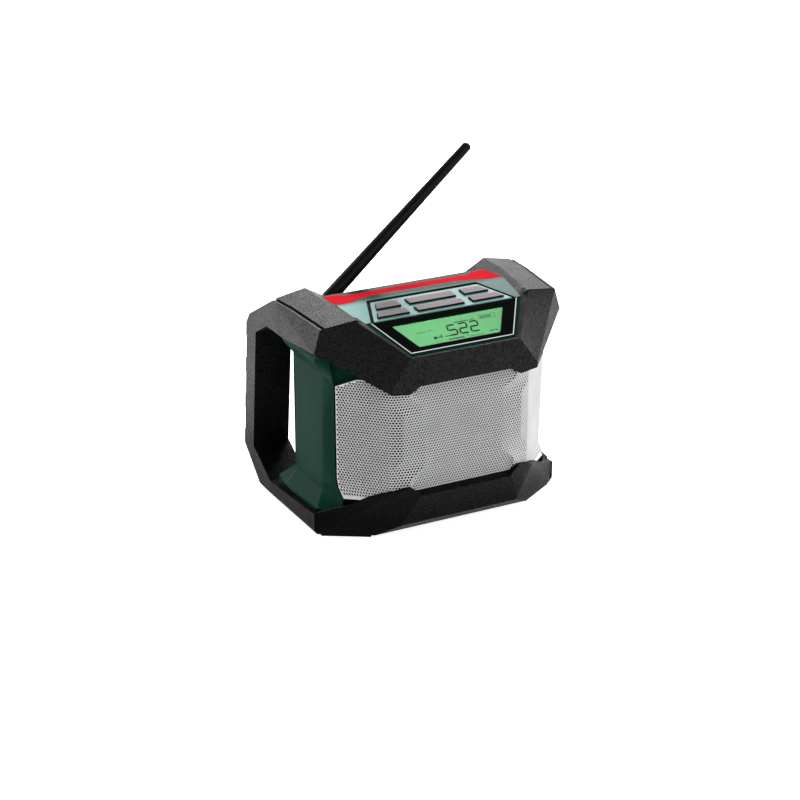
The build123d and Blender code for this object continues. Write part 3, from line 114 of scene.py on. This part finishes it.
# ---- finishes: a colour, how rough and shiny it is, its moulded grain and its slight unevenness
rubberGrainAndShade = {"rough": 0.40, "grain": 1000, "depth": 0.9, "mottle": 0.45, "reach": 0.0009, "speckle": 0.55,
               "heights": (0.02, 0.11), "shares": (0.30, 1.2)}    # painted shade: the sheen is dimmed near the floor, growing between these heights
finishes = {
    "housing_plastic": {"colour": (0.003, 0.029, 0.018), "rough": 0.36, "specular": 0.012,
                        "grain": 2600, "depth": 0.05, "mottle": 0.10},
    "bumper_rubber": {"colour": (0.0016, 0.0016, 0.0019), "specular": 0.075, **rubberGrainAndShade},
    "cap_plastic": {"colour": (0.0025, 0.0025, 0.0028), "specular": 0.060, **rubberGrainAndShade},
    "grille_paint": {"colour": (0.74, 0.74, 0.745), "rough": 0.38, "specular": 0.15,
                     "grain": 3000, "depth": 0.03, "mottle": 0.04},
    "grille_fabric": {"colour": (0.006, 0.006, 0.006), "rough": 0.95, "specular": 0.1,
                      "grain": 1800, "depth": 0.5, "mottle": 0.5},
    "gloss_black": {"colour": (0.002, 0.003, 0.003), "rough": 0.12, "specular": 0.02,
                    "grain": 400, "depth": 0.01, "mottle": 0.1},
    "white_plastic": {"colour": (0.72, 0.72, 0.70), "rough": 0.5, "specular": 0.4,
                      "grain": 1500, "depth": 0.05, "mottle": 0.05},
    "keypad_plastic": {"colour": (0.11, 0.27, 0.245), "rough": 0.34, "specular": 0.03,
                       "grain": 2600, "depth": 0.04, "mottle": 0.08},
    "key_rubber": {"colour": (0.16, 0.115, 0.125), "rough": 0.5, "specular": 0.04,
                   "grain": 2200, "depth": 0.08, "mottle": 0.12},
    "accent_red": {"colour": (0.60, 0.020, 0.032), "rough": 0.34, "specular": 0.0,
                   "grain": 2600, "depth": 0.04, "mottle": 0.06},
    "antenna_rubber": {"colour": (0.002, 0.002, 0.0022), "rough": 0.42, "specular": 0.06,
                       "grain": 1500, "depth": 0.10, "mottle": 0.3},
    "soft_rubber": {"colour": (0.014, 0.014, 0.014), "rough": 0.7, "specular": 0.25,
                    "grain": 1600, "depth": 0.2, "mottle": 0.3},
    "dark_plastic": {"colour": (0.018, 0.018, 0.020), "rough": 0.45, "specular": 0.4,
                     "grain": 1500, "depth": 0.15, "mottle": 0.25},
    "board_green": {"colour": (0.02, 0.16, 0.06), "rough": 0.35, "specular": 0.5,
                    "grain": 900, "depth": 0.05, "mottle": 0.3},
    "cell_wrap": {"colour": (0.05, 0.20, 0.42), "rough": 0.3, "specular": 0.5,
                  "grain": 600, "depth": 0.03, "mottle": 0.1},
    "magnet_ferrite": {"colour": (0.05, 0.05, 0.052), "rough": 0.6, "specular": 0.4,
                       "grain": 900, "depth": 0.2, "mottle": 0.3},
    "cone_pulp": {"colour": (0.035, 0.035, 0.035), "rough": 0.8, "specular": 0.2,
                  "grain": 700, "depth": 0.4, "mottle": 0.4},
    "bare_aluminium": {"colour": (0.74, 0.75, 0.77), "rough": 0.32, "metal": 1.0,
                       "grain": 1200, "depth": 0.06, "mottle": 0.06},
    "zinc_steel": {"colour": (0.52, 0.53, 0.55), "rough": 0.34, "metal": 1.0,
                   "grain": 1600, "depth": 0.08, "mottle": 0.1},
    "contact_brass": {"colour": (0.70, 0.50, 0.20), "rough": 0.3, "metal": 1.0,
                      "grain": 1600, "depth": 0.05, "mottle": 0.08},
}
unevenness = {"scale": 38, "detail": 5, "toneSpan": (0.3, 0.7), "glossSpan": (0.25, 0.75), "glossShare": 0.3}
plainGrain = {"reach": 0.0003, "specular": 0.5}    # where a finish says nothing else
speckles = {"scaleShare": 0.62, "detail": 3, "span": (0.36, 0.64)}
materials = {}


def addSpeckleAndFloorShade(tree, shader, place, look):
    # grained rubber glints in fine spots; near the floor its sheen is dimmed as painted shade, standing in
    # for a dark reflection
    spots = addNoise(tree, place, look["grain"] * speckles["scaleShare"], speckles["detail"])
    dull, bright = (look["specular"] * (1 + side * look["speckle"]) for side in (-1, 1))
    sheen = addRange(tree, spots, speckles["span"], (dull, bright))
    paintedFloorShade = addRange(tree, addAxis(tree, place.outputs["Object"], "Z"), look["heights"], look["shares"])
    tree.links.new(addMath(tree, "MULTIPLY", sheen, paintedFloorShade), shader.inputs["Specular IOR Level"])


def makeFinish(name, look):
    material = bpy.data.materials.new(name)
    material.use_nodes = True
    tree = material.node_tree
    shader = tree.nodes["Principled BSDF"]
    shader.inputs["Metallic"].default_value = look.get("metal", 0.0)
    shader.inputs["Specular IOR Level"].default_value = look.get("specular", plainGrain["specular"])
    place = tree.nodes.new("ShaderNodeTexCoord")
    cloudy = addNoise(tree, place, unevenness["scale"], unevenness["detail"])
    mottle, rough = look["mottle"], look["rough"]
    tone = addRange(tree, cloudy, unevenness["toneSpan"], (1 - mottle, 1 + mottle))
    tree.links.new(addScaled(tree, look["colour"], tone), shader.inputs["Base Color"])
    if look.get("speckle"):
        addSpeckleAndFloorShade(tree, shader, place, look)
    sway = unevenness["glossShare"] * mottle
    roughSpan = (rough * (1 - sway), min(1.0, rough * (1 + sway)))
    gloss = addRange(tree, cloudy, unevenness["glossSpan"], roughSpan)
    tree.links.new(gloss, shader.inputs["Roughness"])
    relief = tree.nodes.new("ShaderNodeBump")
    relief.inputs["Strength"].default_value = look["depth"]
    relief.inputs["Distance"].default_value = look.get("reach", plainGrain["reach"])
    tree.links.new(addNoise(tree, place, look["grain"]), relief.inputs["Height"])
    tree.links.new(relief.outputs["Normal"], shader.inputs["Normal"])
    materials[name] = material
    return material


for slotName, slotLook in finishes.items():
    makeFinish(slotName, slotLook)

# painted shade on the key walls: how steep a face is before its colour is darkened
keyWallShade = {"finish": "key_rubber", "slope": (0.75, 0.93), "shade": (0.03, 1.0)}
# painted sheen on the flat housing faces: its colour, and how it fades across and towards the back
paintedTopSheen = {"finish": "housing_plastic", "slope": (0.97, 0.99), "colour": (0.16, 0.33, 0.31),
            "x": (-0.085, 0.085), "shares": (1.0, 0.22),    # strongest at the left
            "y": (-0.022, -0.012)}                          # none behind the keypad


def paintShadeOnKeyWalls():
    # painted shade: the side walls of the raised keys are darkened in their colour, their tops keep the full
    # colour
    tree = materials[keyWallShade["finish"]].node_tree
    colour = tree.nodes["Principled BSDF"].inputs["Base Color"]
    place = tree.nodes.new("ShaderNodeTexCoord")
    upward = addAxis(tree, place.outputs["Normal"], "Z")
    share = addRange(tree, upward, keyWallShade["slope"], keyWallShade["shade"])
    tree.links.new(addScaled(tree, colour.links[0].from_socket, share), colour)


def paintSheenOnTops():
    # painted sheen: a pale tint is added to the nearly flat housing faces beside the keypad, standing in for
    # reflected light
    tree = materials[paintedTopSheen["finish"]].node_tree
    colour = tree.nodes["Principled BSDF"].inputs["Base Color"]
    place = tree.nodes.new("ShaderNodeTexCoord")
    share = addRange(tree, addAxis(tree, place.outputs["Normal"], "Z"), paintedTopSheen["slope"])
    across = addRange(tree, addAxis(tree, place.outputs["Object"], "X"), paintedTopSheen["x"], paintedTopSheen["shares"])
    front = addRange(tree, addAxis(tree, place.outputs["Object"], "Y"), paintedTopSheen["y"], (1.0, 0.0))
    share = addMath(tree, "MULTIPLY", addMath(tree, "MULTIPLY", share, across), front)
    both = tree.nodes.new("ShaderNodeVectorMath")
    both.operation = "ADD"
    tree.links.new(colour.links[0].from_socket, both.inputs[0])
    tree.links.new(addScaled(tree, paintedTopSheen["colour"], share), both.inputs[1])
    tree.links.new(both.outputs["Vector"], colour)


paintShadeOnKeyWalls()
paintSheenOnTops()

window = {"colour": (0.96, 1.0, 0.97), "rough": 0.04, "grain": 300, "depth": 0.004, "mottle": 0.01,
          "ior": 1.45}
glow = {"colour": (0.125, 0.60, 0.19), "rough": 0.35, "grain": 900, "depth": 0.02, "mottle": 0.04,
        "strength": 0.09, "patchScale": 26, "patchSpan": (0.3, 0.7), "patchShares": (0.93, 1.07)}


def makeWindowFinish():
    shader = makeFinish("clear_window", window).node_tree.nodes["Principled BSDF"]
    shader.inputs["Transmission Weight"].default_value = 1.0
    shader.inputs["IOR"].default_value = window["ior"]


def makeGlowFinish():
    # the backlight is a little uneven
    tree = makeFinish("display_glow", glow).node_tree
    shader = tree.nodes["Principled BSDF"]
    place = tree.nodes.new("ShaderNodeTexCoord")
    patches = addNoise(tree, place, glow["patchScale"])
    spread = addRange(tree, patches, glow["patchSpan"], glow["patchShares"])
    tree.links.new(addScaled(tree, glow["colour"], spread), shader.inputs["Emission Color"])
    shader.inputs["Emission Strength"].default_value = glow["strength"]


makeWindowFinish()
makeGlowFinish()

slotOf = {part["node"]: part["material_slot"] for part in frame["record"]["subparts"]}


def dress(thing, finish):
    if not thing.data.materials:
        thing.data.materials.append(materials[finish])
    for holder in thing.material_slots:
        holder.material = materials[finish]


for node, finish in slotOf.items():
    dress(nodes[node], finish)
print("finishes made")


def addPiece(name, data, finish, body):
    thing = bpy.data.objects.new(name, data)
    scene.collection.objects.link(thing)
    data.materials.append(materials[finish])
    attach(thing, body)
    return thing


def meshFrom(work, name):
    data = bpy.data.meshes.new(name)
    work.to_mesh(data)
    work.free()
    return data


# ---- moulded pieces with rounded edges: each takes the place of its plain solid
rounding = {
    "left_handle": 2.2, "right_handle": 2.2, "upper_bumper": 1.8, "lower_bumper": 1.8,
    "left_corner_cap": 1.4, "right_corner_cap": 1.4, "front_housing": 0.8, "rear_housing": 0.8,
    "display_bezel": 0.35, "keypad_plate": 0.35, "battery_case": 1.0,
}
edgeLook = {"weld": 2e-5, "flat": 1.0, "bend": 18, "segments": 3, "sharp": 35, "joinReach": 0.02}
joins = ((-54.0, 178.0), (-49.0, 0.0), (20.0, 0.0), (21.0, 0.0))    # y of each flush join, and its lowest z


def bodyOf(node):
    for body, members in frame["record"]["behaviour"]["bodies"].items():
        if node in members:
            return body


def onJoin(edge):
    return any(all(abs(v.co.y / mm - y) < edgeLook["joinReach"] and v.co.z / mm > floor for v in edge.verts)
               for y, floor in joins)


def cleanedSolid(node):
    work = bmesh.new()
    work.from_mesh(nodes[node].data)
    bmesh.ops.remove_doubles(work, verts=work.verts, dist=edgeLook["weld"])
    flat = math.radians(edgeLook["flat"])
    bmesh.ops.dissolve_limit(work, angle_limit=flat, verts=work.verts, edges=work.edges)
    weight = work.edges.layers.float.new("bevel_weight_edge")
    for edge in work.edges:
        bend = edge.calc_face_angle(0.0) > math.radians(edgeLook["bend"])
        edge[weight] = 1.0 if bend and not onJoin(edge) else 0.0
    return meshFrom(work, node + "_moulded")


def makeMoulded(node, width):
    data = cleanedSolid(node)
    data.materials.clear()
    plain = bpy.data.objects.new(node + "_moulded", data)
    scene.collection.objects.link(plain)
    bevel = plain.modifiers.new("edge", "BEVEL")
    bevel.width = width * mm
    bevel.segments = edgeLook["segments"]
    bevel.limit_method = "WEIGHT"
    bevel.use_clamp_overlap = True
    shaped = bpy.data.meshes.new_from_object(plain.evaluated_get(bpy.context.evaluated_depsgraph_get()))
    bpy.data.objects.remove(plain)
    shaped.name = node + "_moulded"
    shaped.materials.clear()
    shaped.polygons.foreach_set("use_smooth", [True] * len(shaped.polygons))
    shaped.set_sharp_from_angle(angle=math.radians(edgeLook["sharp"]))
    thing = addPiece(node + "_moulded", shaped, slotOf[node], bodyOf(node))
    flats = thing.modifiers.new("flats", "WEIGHTED_NORMAL")
    flats.keep_sharp = True
    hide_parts(node)


for node, width in rounding.items():
    makeMoulded(node, width)
print("rounded edges made")

# ---- perforated grille: a formed sheet with folds, mirrored about its middle
grille = {"low": 41.0, "high": 160.0, "seamTop": 151.0, "bendX": 96.0, "bendZ": 150.0, "bendRun": 15.0,
          "seamGap": 1.6, "step": 3.0, "centreHalf": 62.7, "centreY": -99.2,
          "creaseX": 73.2, "creaseY": -94.3, "foldX": 0.6, "foldY": 0.3,
          "pitch": 2.9, "hole": 1.2, "depth": 1.2, "rim": 1.4,
          "frontSpan": 75.8, "panelSpan": 53.5, "weld": 1e-6}
folds = {"levels": (41.0, 63.0, 74.0, 134.5, 144.0, 160.0), "half": (57.0, 51.0, 37.6, 39.2, 53.5, 57.0),
         "panel": (-98.2, -99.2, -101.1, -99.3, -98.3, -98.3),
         "plane": (-99.5, -100.5, -101.2, -99.4, -99.5, -99.6),
         "bevel": (73.0, 82.0, 127.0, 136.0)}
seam = {"levels": (24.0, 40.0, 49.0, 58.0, 150.0, 178.0), "x": (109.5, 109.4, 110.0, 110.8, 112.5, 118.0),
        "y": (-63.0, -65.5, -55.6, -53.8, -56.0, -57.5)}


def skinCorners(z):
    # corners of one half of the sheet at height z, from the middle to the seam with the housing
    half, panel, plane = (np.interp(z, folds["levels"], folds[key]) for key in ("half", "panel", "plane"))
    foldX, foldY = grille["creaseX"] - grille["foldX"], grille["creaseY"] - grille["foldY"]
    bevelX = np.interp(z, folds["bevel"], (foldX, grille["centreHalf"], grille["centreHalf"], foldX))
    bevelY = np.interp(z, folds["bevel"], (foldY, grille["centreY"], grille["centreY"], foldY))
    crease = np.array((grille["creaseX"], grille["creaseY"]))
    edge = np.array([np.interp(z, seam["levels"], seam[axis]) for axis in ("x", "y")])
    run = edge - crease
    end = edge - run / np.linalg.norm(run) * grille["seamGap"]
    middle = ((0.0, panel), (half, panel), (half + grille["step"], plane))
    return np.array((*middle, (bevelX, bevelY), crease, end))


def skinPlace(s, z, inward):
    # a point of the formed sheet: s runs across it from the middle, z is its height
    corners = skinCorners(z)
    side = -1.0 if s < 0 else 1.0
    if abs(s) <= grille["frontSpan"]:
        x = abs(s) / grille["frontSpan"] * grille["creaseX"]
        k = min(int(np.searchsorted(corners[:5, 0], x, side="right")) - 1, 3)
        share = (x - corners[k, 0]) / (corners[k + 1, 0] - corners[k, 0])
    else:
        k, share = 4, min((abs(s) - grille["frontSpan"]) / grille["panelSpan"], 1.0)
    a, b = corners[k], corners[k + 1]
    run = (b - a) / np.linalg.norm(b - a)
    point = a + (b - a) * share + np.array((-run[1], run[0])) * inward
    return (side * point[0] * mm, point[1] * mm, z * mm)


def sheetTop(s):
    # the top edge runs down beyond the bend, towards the seam
    x = abs(skinPlace(s, grille["bendZ"], 0.0)[0]) / mm
    drop = (grille["high"] - grille["seamTop"]) / grille["bendRun"]
    return grille["high"] - max(0.0, x - grille["bendX"]) * drop


def makeGrille():
    pitch, halfSpan, margin = grille["pitch"], grille["frontSpan"] + grille["panelSpan"], grille["rim"]
    rowStep, hexR = pitch * math.sqrt(3) / 2, pitch / math.sqrt(3)
    rows = int((grille["high"] - grille["low"]) / rowStep) + 3
    columns = int(2 * halfSpan / pitch) + 4
    points, faces, known = [], [], {}
    holes = 0

    def corner(s, z):
        # one shared point for each corner of the cells, kept inside the sheet's outline
        key = (round(s, 3), round(z, 3))
        if key not in known:
            known[key] = len(points)
            s = max(-halfSpan, min(halfSpan, s))
            points.append(skinPlace(s, max(grille["low"], min(sheetTop(s), z)), 0.0))
        return known[key]

    def cellCorner(s, z, k):
        turn = math.radians(30 + 60 * k)
        return corner(s + hexR * math.cos(turn), z + hexR * math.sin(turn))

    # six-cornered cells, each with a hole of twelve sides and a short wall
    for row in range(rows):
        z = grille["low"] - rowStep / 2 + row * rowStep
        for column in range(columns):
            s = -halfSpan - pitch + column * pitch + (pitch / 2 if row % 2 else 0.0)
            if abs(s) > halfSpan + pitch or z > sheetTop(s) + rowStep:
                continue
            ring = [cellCorner(s, z, k) for k in range(6)]
            if len(set(points[k] for k in ring)) < 3:
                continue
            if abs(s) > halfSpan - margin or z < grille["low"] + margin or z > sheetTop(s) - margin:
                faces.append(ring)
                continue
            first = len(points)
            holes += 1
            for inward in (0.0, grille["depth"]):
                for k in range(12):
                    turn = math.radians(30 * k)
                    across, up = grille["hole"] * math.cos(turn), grille["hole"] * math.sin(turn)
                    points.append(skinPlace(s + across, z + up, inward))
            for k in range(6):
                before, here, after, late = ((2 * k + shift) % 12 for shift in range(4))
                faces.append([ring[k], first + here, first + before])
                faces.append([ring[k], first + after, first + here])
                faces.append([ring[k], ring[(k + 1) % 6], first + late, first + after])
            for k in range(12):
                faces.append([first + k, first + (k + 1) % 12, first + 12 + (k + 1) % 12, first + 12 + k])
    data = bpy.data.meshes.new("grille_cells")
    data.from_pydata(points, [], faces)
    work = bmesh.new()
    work.from_mesh(data)
    bpy.data.meshes.remove(data)
    bmesh.ops.remove_doubles(work, verts=work.verts, dist=grille["weld"])
    bmesh.ops.dissolve_degenerate(work, dist=grille["weld"], edges=work.edges)
    bmesh.ops.recalc_face_normals(work, faces=work.faces)
    thing = addPiece("grille_sheet", meshFrom(work, "grille_sheet"), "grille_paint", "radio_body")
    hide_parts("speaker_grille")
    print("grille made, holes:", holes)


makeGrille()


# ---- the two slopes of the front panel, each from its lower fold to its upper one, as (y, z)
def makeSlope(low, high):
    return {"start": low, "angle": math.atan2(high[1] - low[1], high[0] - low[0])}


panelFoot, panelFold, panelTop = (-98.5, 184.0), (-61.0, 207.6), (-16.0, 212.2)
displaySlope, keypadSlope = makeSlope(panelFoot, panelFold), makeSlope(panelFold, panelTop)


def onSlope(slope, x, y, level):
    start, turn = slope["start"], slope["angle"]
    return Vector((x, start[0] + y * math.cos(turn) - level * math.sin(turn),
                   start[1] + y * math.sin(turn) + level * math.cos(turn))) * mm


def addPlate(work, slope, outline, low, high):
    floor = [work.verts.new(onSlope(slope, x, y, low)) for x, y in outline]
    top = [work.verts.new(onSlope(slope, x, y, high)) for x, y in outline]
    work.faces.new(top)
    work.faces.new(floor[::-1])
    count = len(outline)
    for k in range(count):
        work.faces.new((floor[k], floor[(k + 1) % count], top[(k + 1) % count], top[k]))


def boxOutline(x, y, wide, tall):
    return [(x, y), (x + wide, y), (x + wide, y + tall), (x, y + tall)]


# ---- display: digits and marks on the lit panel
display = {"level": -1.99, "thick": 0.03, "digits": "522", "left": -7.0, "low": 15.6,
           "wide": 8.4, "tall": 11.4, "step": 11.6, "stroke": 1.7, "slant": 0.10, "inset": 0.4, "gap": -0.25}
segmentsOf = {"0": "abcdef", "1": "bc", "2": "abged", "3": "abgcd", "4": "fgbc",
              "5": "afgcd", "6": "afgedc", "7": "abc", "8": "abcdefg", "9": "abcfgd"}
smallMarks = [    # x, y, width, height of the small generic marks
    (-38.0, 24.0, 9.0, 0.5), (-27.0, 24.6, 5.0, 0.5), (-24.0, 14.5, 3.6, 2.6), (-12.0, 15.0, 7.0, 0.9),
    (3.0, 28.6, 15.0, 0.9), (20.0, 28.9, 4.0, 0.9), (9.6, 12.0, 1.2, 1.2), (12.0, 10.6, 14.0, 0.5),
    (34.0, 12.4, 4.0, 0.9), (39.0, 12.4, 3.0, 0.9),
]
smallMarks += [(-19.2 + 1.8 * k, 14.8, 1.0, 2.0 + k) for k in range(3)]     # rising bars
smallMarks += [(-10.0 + 2.4 * k, 10.4, 1.5, 1.9) for k in range(7)]         # a row of dots
gauge = {"x": 30.0, "y": 27.6, "wide": 17.0, "tall": 4.2, "line": 0.35,
         "bars": 5, "barWide": 1.5, "barTall": 2.0, "barX": 1.4, "barY": 1.2, "barStep": 2.4}


def digitBar(letter):
    # outline of one of the seven strokes of a digit
    wide, tall, half = display["wide"], display["tall"], display["stroke"] / 2
    spans = {
        "a": ((0, tall), (wide, tall)), "g": ((0, tall / 2), (wide, tall / 2)), "d": ((0, 0), (wide, 0)),
        "f": ((0, tall / 2), (0, tall)), "b": ((wide, tall / 2), (wide, tall)),
        "e": ((0, 0), (0, tall / 2)), "c": ((wide, 0), (wide, tall / 2)),
    }
    (x0, y0), (x1, y1) = spans[letter]
    trimmed = half * display["inset"] + display["gap"]
    if y0 == y1:
        a, b = x0 + trimmed, x1 - trimmed
        return [(a, y0), (a + half, y0 - half), (b - half, y0 - half), (b, y0),
                (b - half, y0 + half), (a + half, y0 + half)]
    a, b = y0 + trimmed, y1 - trimmed
    return [(x0, a), (x0 + half, a + half), (x0 + half, b - half), (x0, b),
            (x0 - half, b - half), (x0 - half, a + half)]


def makeDisplayMarks():
    outlines = []
    for k, digit in enumerate(display["digits"]):
        left = display["left"] + k * display["step"]
        for letter in segmentsOf[digit]:
            bar = digitBar(letter)
            outlines.append([(left + x + y * display["slant"], display["low"] + y) for x, y in bar])
    outlines += [boxOutline(*mark) for mark in smallMarks]
    x, y, wide, tall, line = (gauge[key] for key in ("x", "y", "wide", "tall", "line"))
    outlines += [boxOutline(x, y, wide, line), boxOutline(x, y + tall, wide, line)]
    outlines += [boxOutline(x, y, line, tall), boxOutline(x + wide - line, y, line, tall + line)]
    for k in range(gauge["bars"]):
        left = x + gauge["barX"] + k * gauge["barStep"]
        outlines.append(boxOutline(left, y + gauge["barY"], gauge["barWide"], gauge["barTall"]))
    work = bmesh.new()
    for outline in outlines:
        addPlate(work, displaySlope, outline, display["level"], display["level"] + display["thick"])
    addPiece("display_marks", meshFrom(work, "display_marks"), "gloss_black", "radio_body")


makeDisplayMarks()
print("display made")

# ---- painted highlight: a thin bright metal strip round the display's foot and sides stands in for the highlight on the moulded edge
trim = {"path": ((-76.6, 43.2), (-53.4, 3.0), (53.4, 3.0), (76.6, 43.2)),
        "width": 0.9, "low": -0.3, "high": 0.28}


def makeHighlightStrip():
    work = bmesh.new()
    path = [Vector(point) for point in trim["path"]]
    for a, b in zip(path, path[1:]):
        run = (b - a).normalized()
        side = Vector((-run.y, run.x)) * trim["width"] / 2
        outline = [tuple(a - side), tuple(b - side), tuple(b + side), tuple(a + side)]
        addPlate(work, displaySlope, outline, trim["low"], trim["high"])
    addPiece("display_highlight_strip", meshFrom(work, "display_highlight_strip"), "bare_aluminium", "radio_body")


makeHighlightStrip()

# ---- keypad: painted shade, a near-black sheet laid in the channel round the plate, where the groove is in shade
channel = {"low": -1.98, "high": -1.5,
           "outer": ((75.9, 0.5), (58.6, 44.1)), "inner": ((72.9, 0.5), (57.5, 39.7))}


def makeGrooveShade():
    work = bmesh.new()
    (lowOut, highOut), (lowIn, highIn) = channel["outer"], channel["inner"]
    for side in (-1, 1):
        ring = [(side * x, y) for x, y in (lowOut, highOut, (highIn[0], highOut[1]), highIn, lowIn)]
        addPlate(work, keypadSlope, ring[::side], channel["low"], channel["high"])
    bar = boxOutline(-highIn[0], highIn[1], 2 * highIn[0], highOut[1] - highIn[1])
    addPlate(work, keypadSlope, bar, channel["low"], channel["high"])
    addPiece("keypad_groove_shade", meshFrom(work, "keypad_groove_shade"), "grille_fabric", "radio_body")


makeGrooveShade()
print("trim and keypad channel made")

# ---- floor, backdrop and light
stageLook = {"reach": 6.0, "colour": (0.86, 0.86, 0.86), "rough": 0.9, "specular": 0.1,
             "worldLight": 0.28, "floorGlow": 0.76}
white = (1, 1, 1, 1)


def addSeenRays(tree):
    # 1 where the camera, a reflection or clear plastic looks at the backdrop
    path = tree.nodes.new("ShaderNodeLightPath")
    clear = addMath(tree, "MAXIMUM", path.outputs["Is Glossy Ray"], path.outputs["Is Transmission Ray"])
    return addMath(tree, "MAXIMUM", path.outputs["Is Camera Ray"], clear)


def makeFloor():
    data = bpy.data.meshes.new("floor")
    reach = stageLook["reach"]
    data.from_pydata([(-reach, -reach, 0), (reach, -reach, 0), (reach, reach, 0), (-reach, reach, 0)],
                     [], [(0, 1, 2, 3)])
    floor = bpy.data.objects.new("floor", data)
    scene.collection.objects.link(floor)
    material = bpy.data.materials.new("floor_paint")
    material.use_nodes = True
    tree = material.node_tree
    shader = tree.nodes["Principled BSDF"]
    shader.inputs["Base Color"].default_value = (*stageLook["colour"], 1)
    shader.inputs["Roughness"].default_value = stageLook["rough"]
    shader.inputs["Specular IOR Level"].default_value = stageLook["specular"]
    shader.inputs["Emission Color"].default_value = white
    strength = tree.nodes.new("ShaderNodeMath")
    strength.operation = "MULTIPLY"
    strength.inputs[1].default_value = stageLook["floorGlow"]
    tree.links.new(addSeenRays(tree), strength.inputs[0])
    tree.links.new(strength.outputs["Value"], shader.inputs["Emission Strength"])
    data.materials.append(material)


def addBackground(tree, strength):
    node = tree.nodes.new("ShaderNodeBackground")
    node.inputs["Color"].default_value = white
    node.inputs["Strength"].default_value = strength
    return node.outputs["Background"]


def makeWorld():
    world = bpy.data.worlds.new("studio")
    scene.world = world
    world.use_nodes = True
    tree = world.node_tree
    tree.nodes.clear()
    out = tree.nodes.new("ShaderNodeOutputWorld")
    mix = tree.nodes.new("ShaderNodeMixShader")
    tree.links.new(addSeenRays(tree), mix.inputs["Fac"])
    tree.links.new(addBackground(tree, stageLook["worldLight"]), mix.inputs[1])
    tree.links.new(addBackground(tree, 1.0), mix.inputs[2])
    tree.links.new(mix.outputs["Shader"], out.inputs["Surface"])


lamps = {    # direction from the object, distance, size, brightness of its face
    "right": {"way": (0.96, -0.19, 0.22), "far": 1.3, "size": (0.46, 0.50), "bright": 14},
    "behind": {"way": (0.44, 0.75, 0.50), "far": 1.5, "size": (0.75, 0.40), "bright": 27},
    "left": {"way": (-0.69, 0.72, 0.05), "far": 1.5, "size": (0.35, 0.50), "bright": 22},
    "leftBehind": {"way": (-0.39, 0.82, 0.41), "far": 1.5, "size": (0.45, 0.30), "bright": 34},
    "front": {"way": (0.10, -0.93, 0.35), "far": 2.0, "size": (1.2, 1.0), "bright": 5.0},
}
lampAim = Vector((0, 0, 0.12))


def makeLamps():
    for name, lamp in lamps.items():
        data = bpy.data.lights.new(name, "AREA")
        data.shape = "RECTANGLE"
        data.size, data.size_y = lamp["size"]
        data.energy = math.pi * data.size * data.size_y * lamp["bright"]
        thing = bpy.data.objects.new(name, data)
        way = Vector(lamp["way"]).normalized()
        thing.location = lampAim + way * lamp["far"]
        thing.rotation_mode = "QUATERNION"
        thing.rotation_quaternion = (-way).to_track_quat("-Z", "Y")
        thing.visible_camera = False
        scene.collection.objects.link(thing)


makeFloor()
makeWorld()
makeLamps()
scene.view_settings.view_transform = "Standard"
print("stage made")
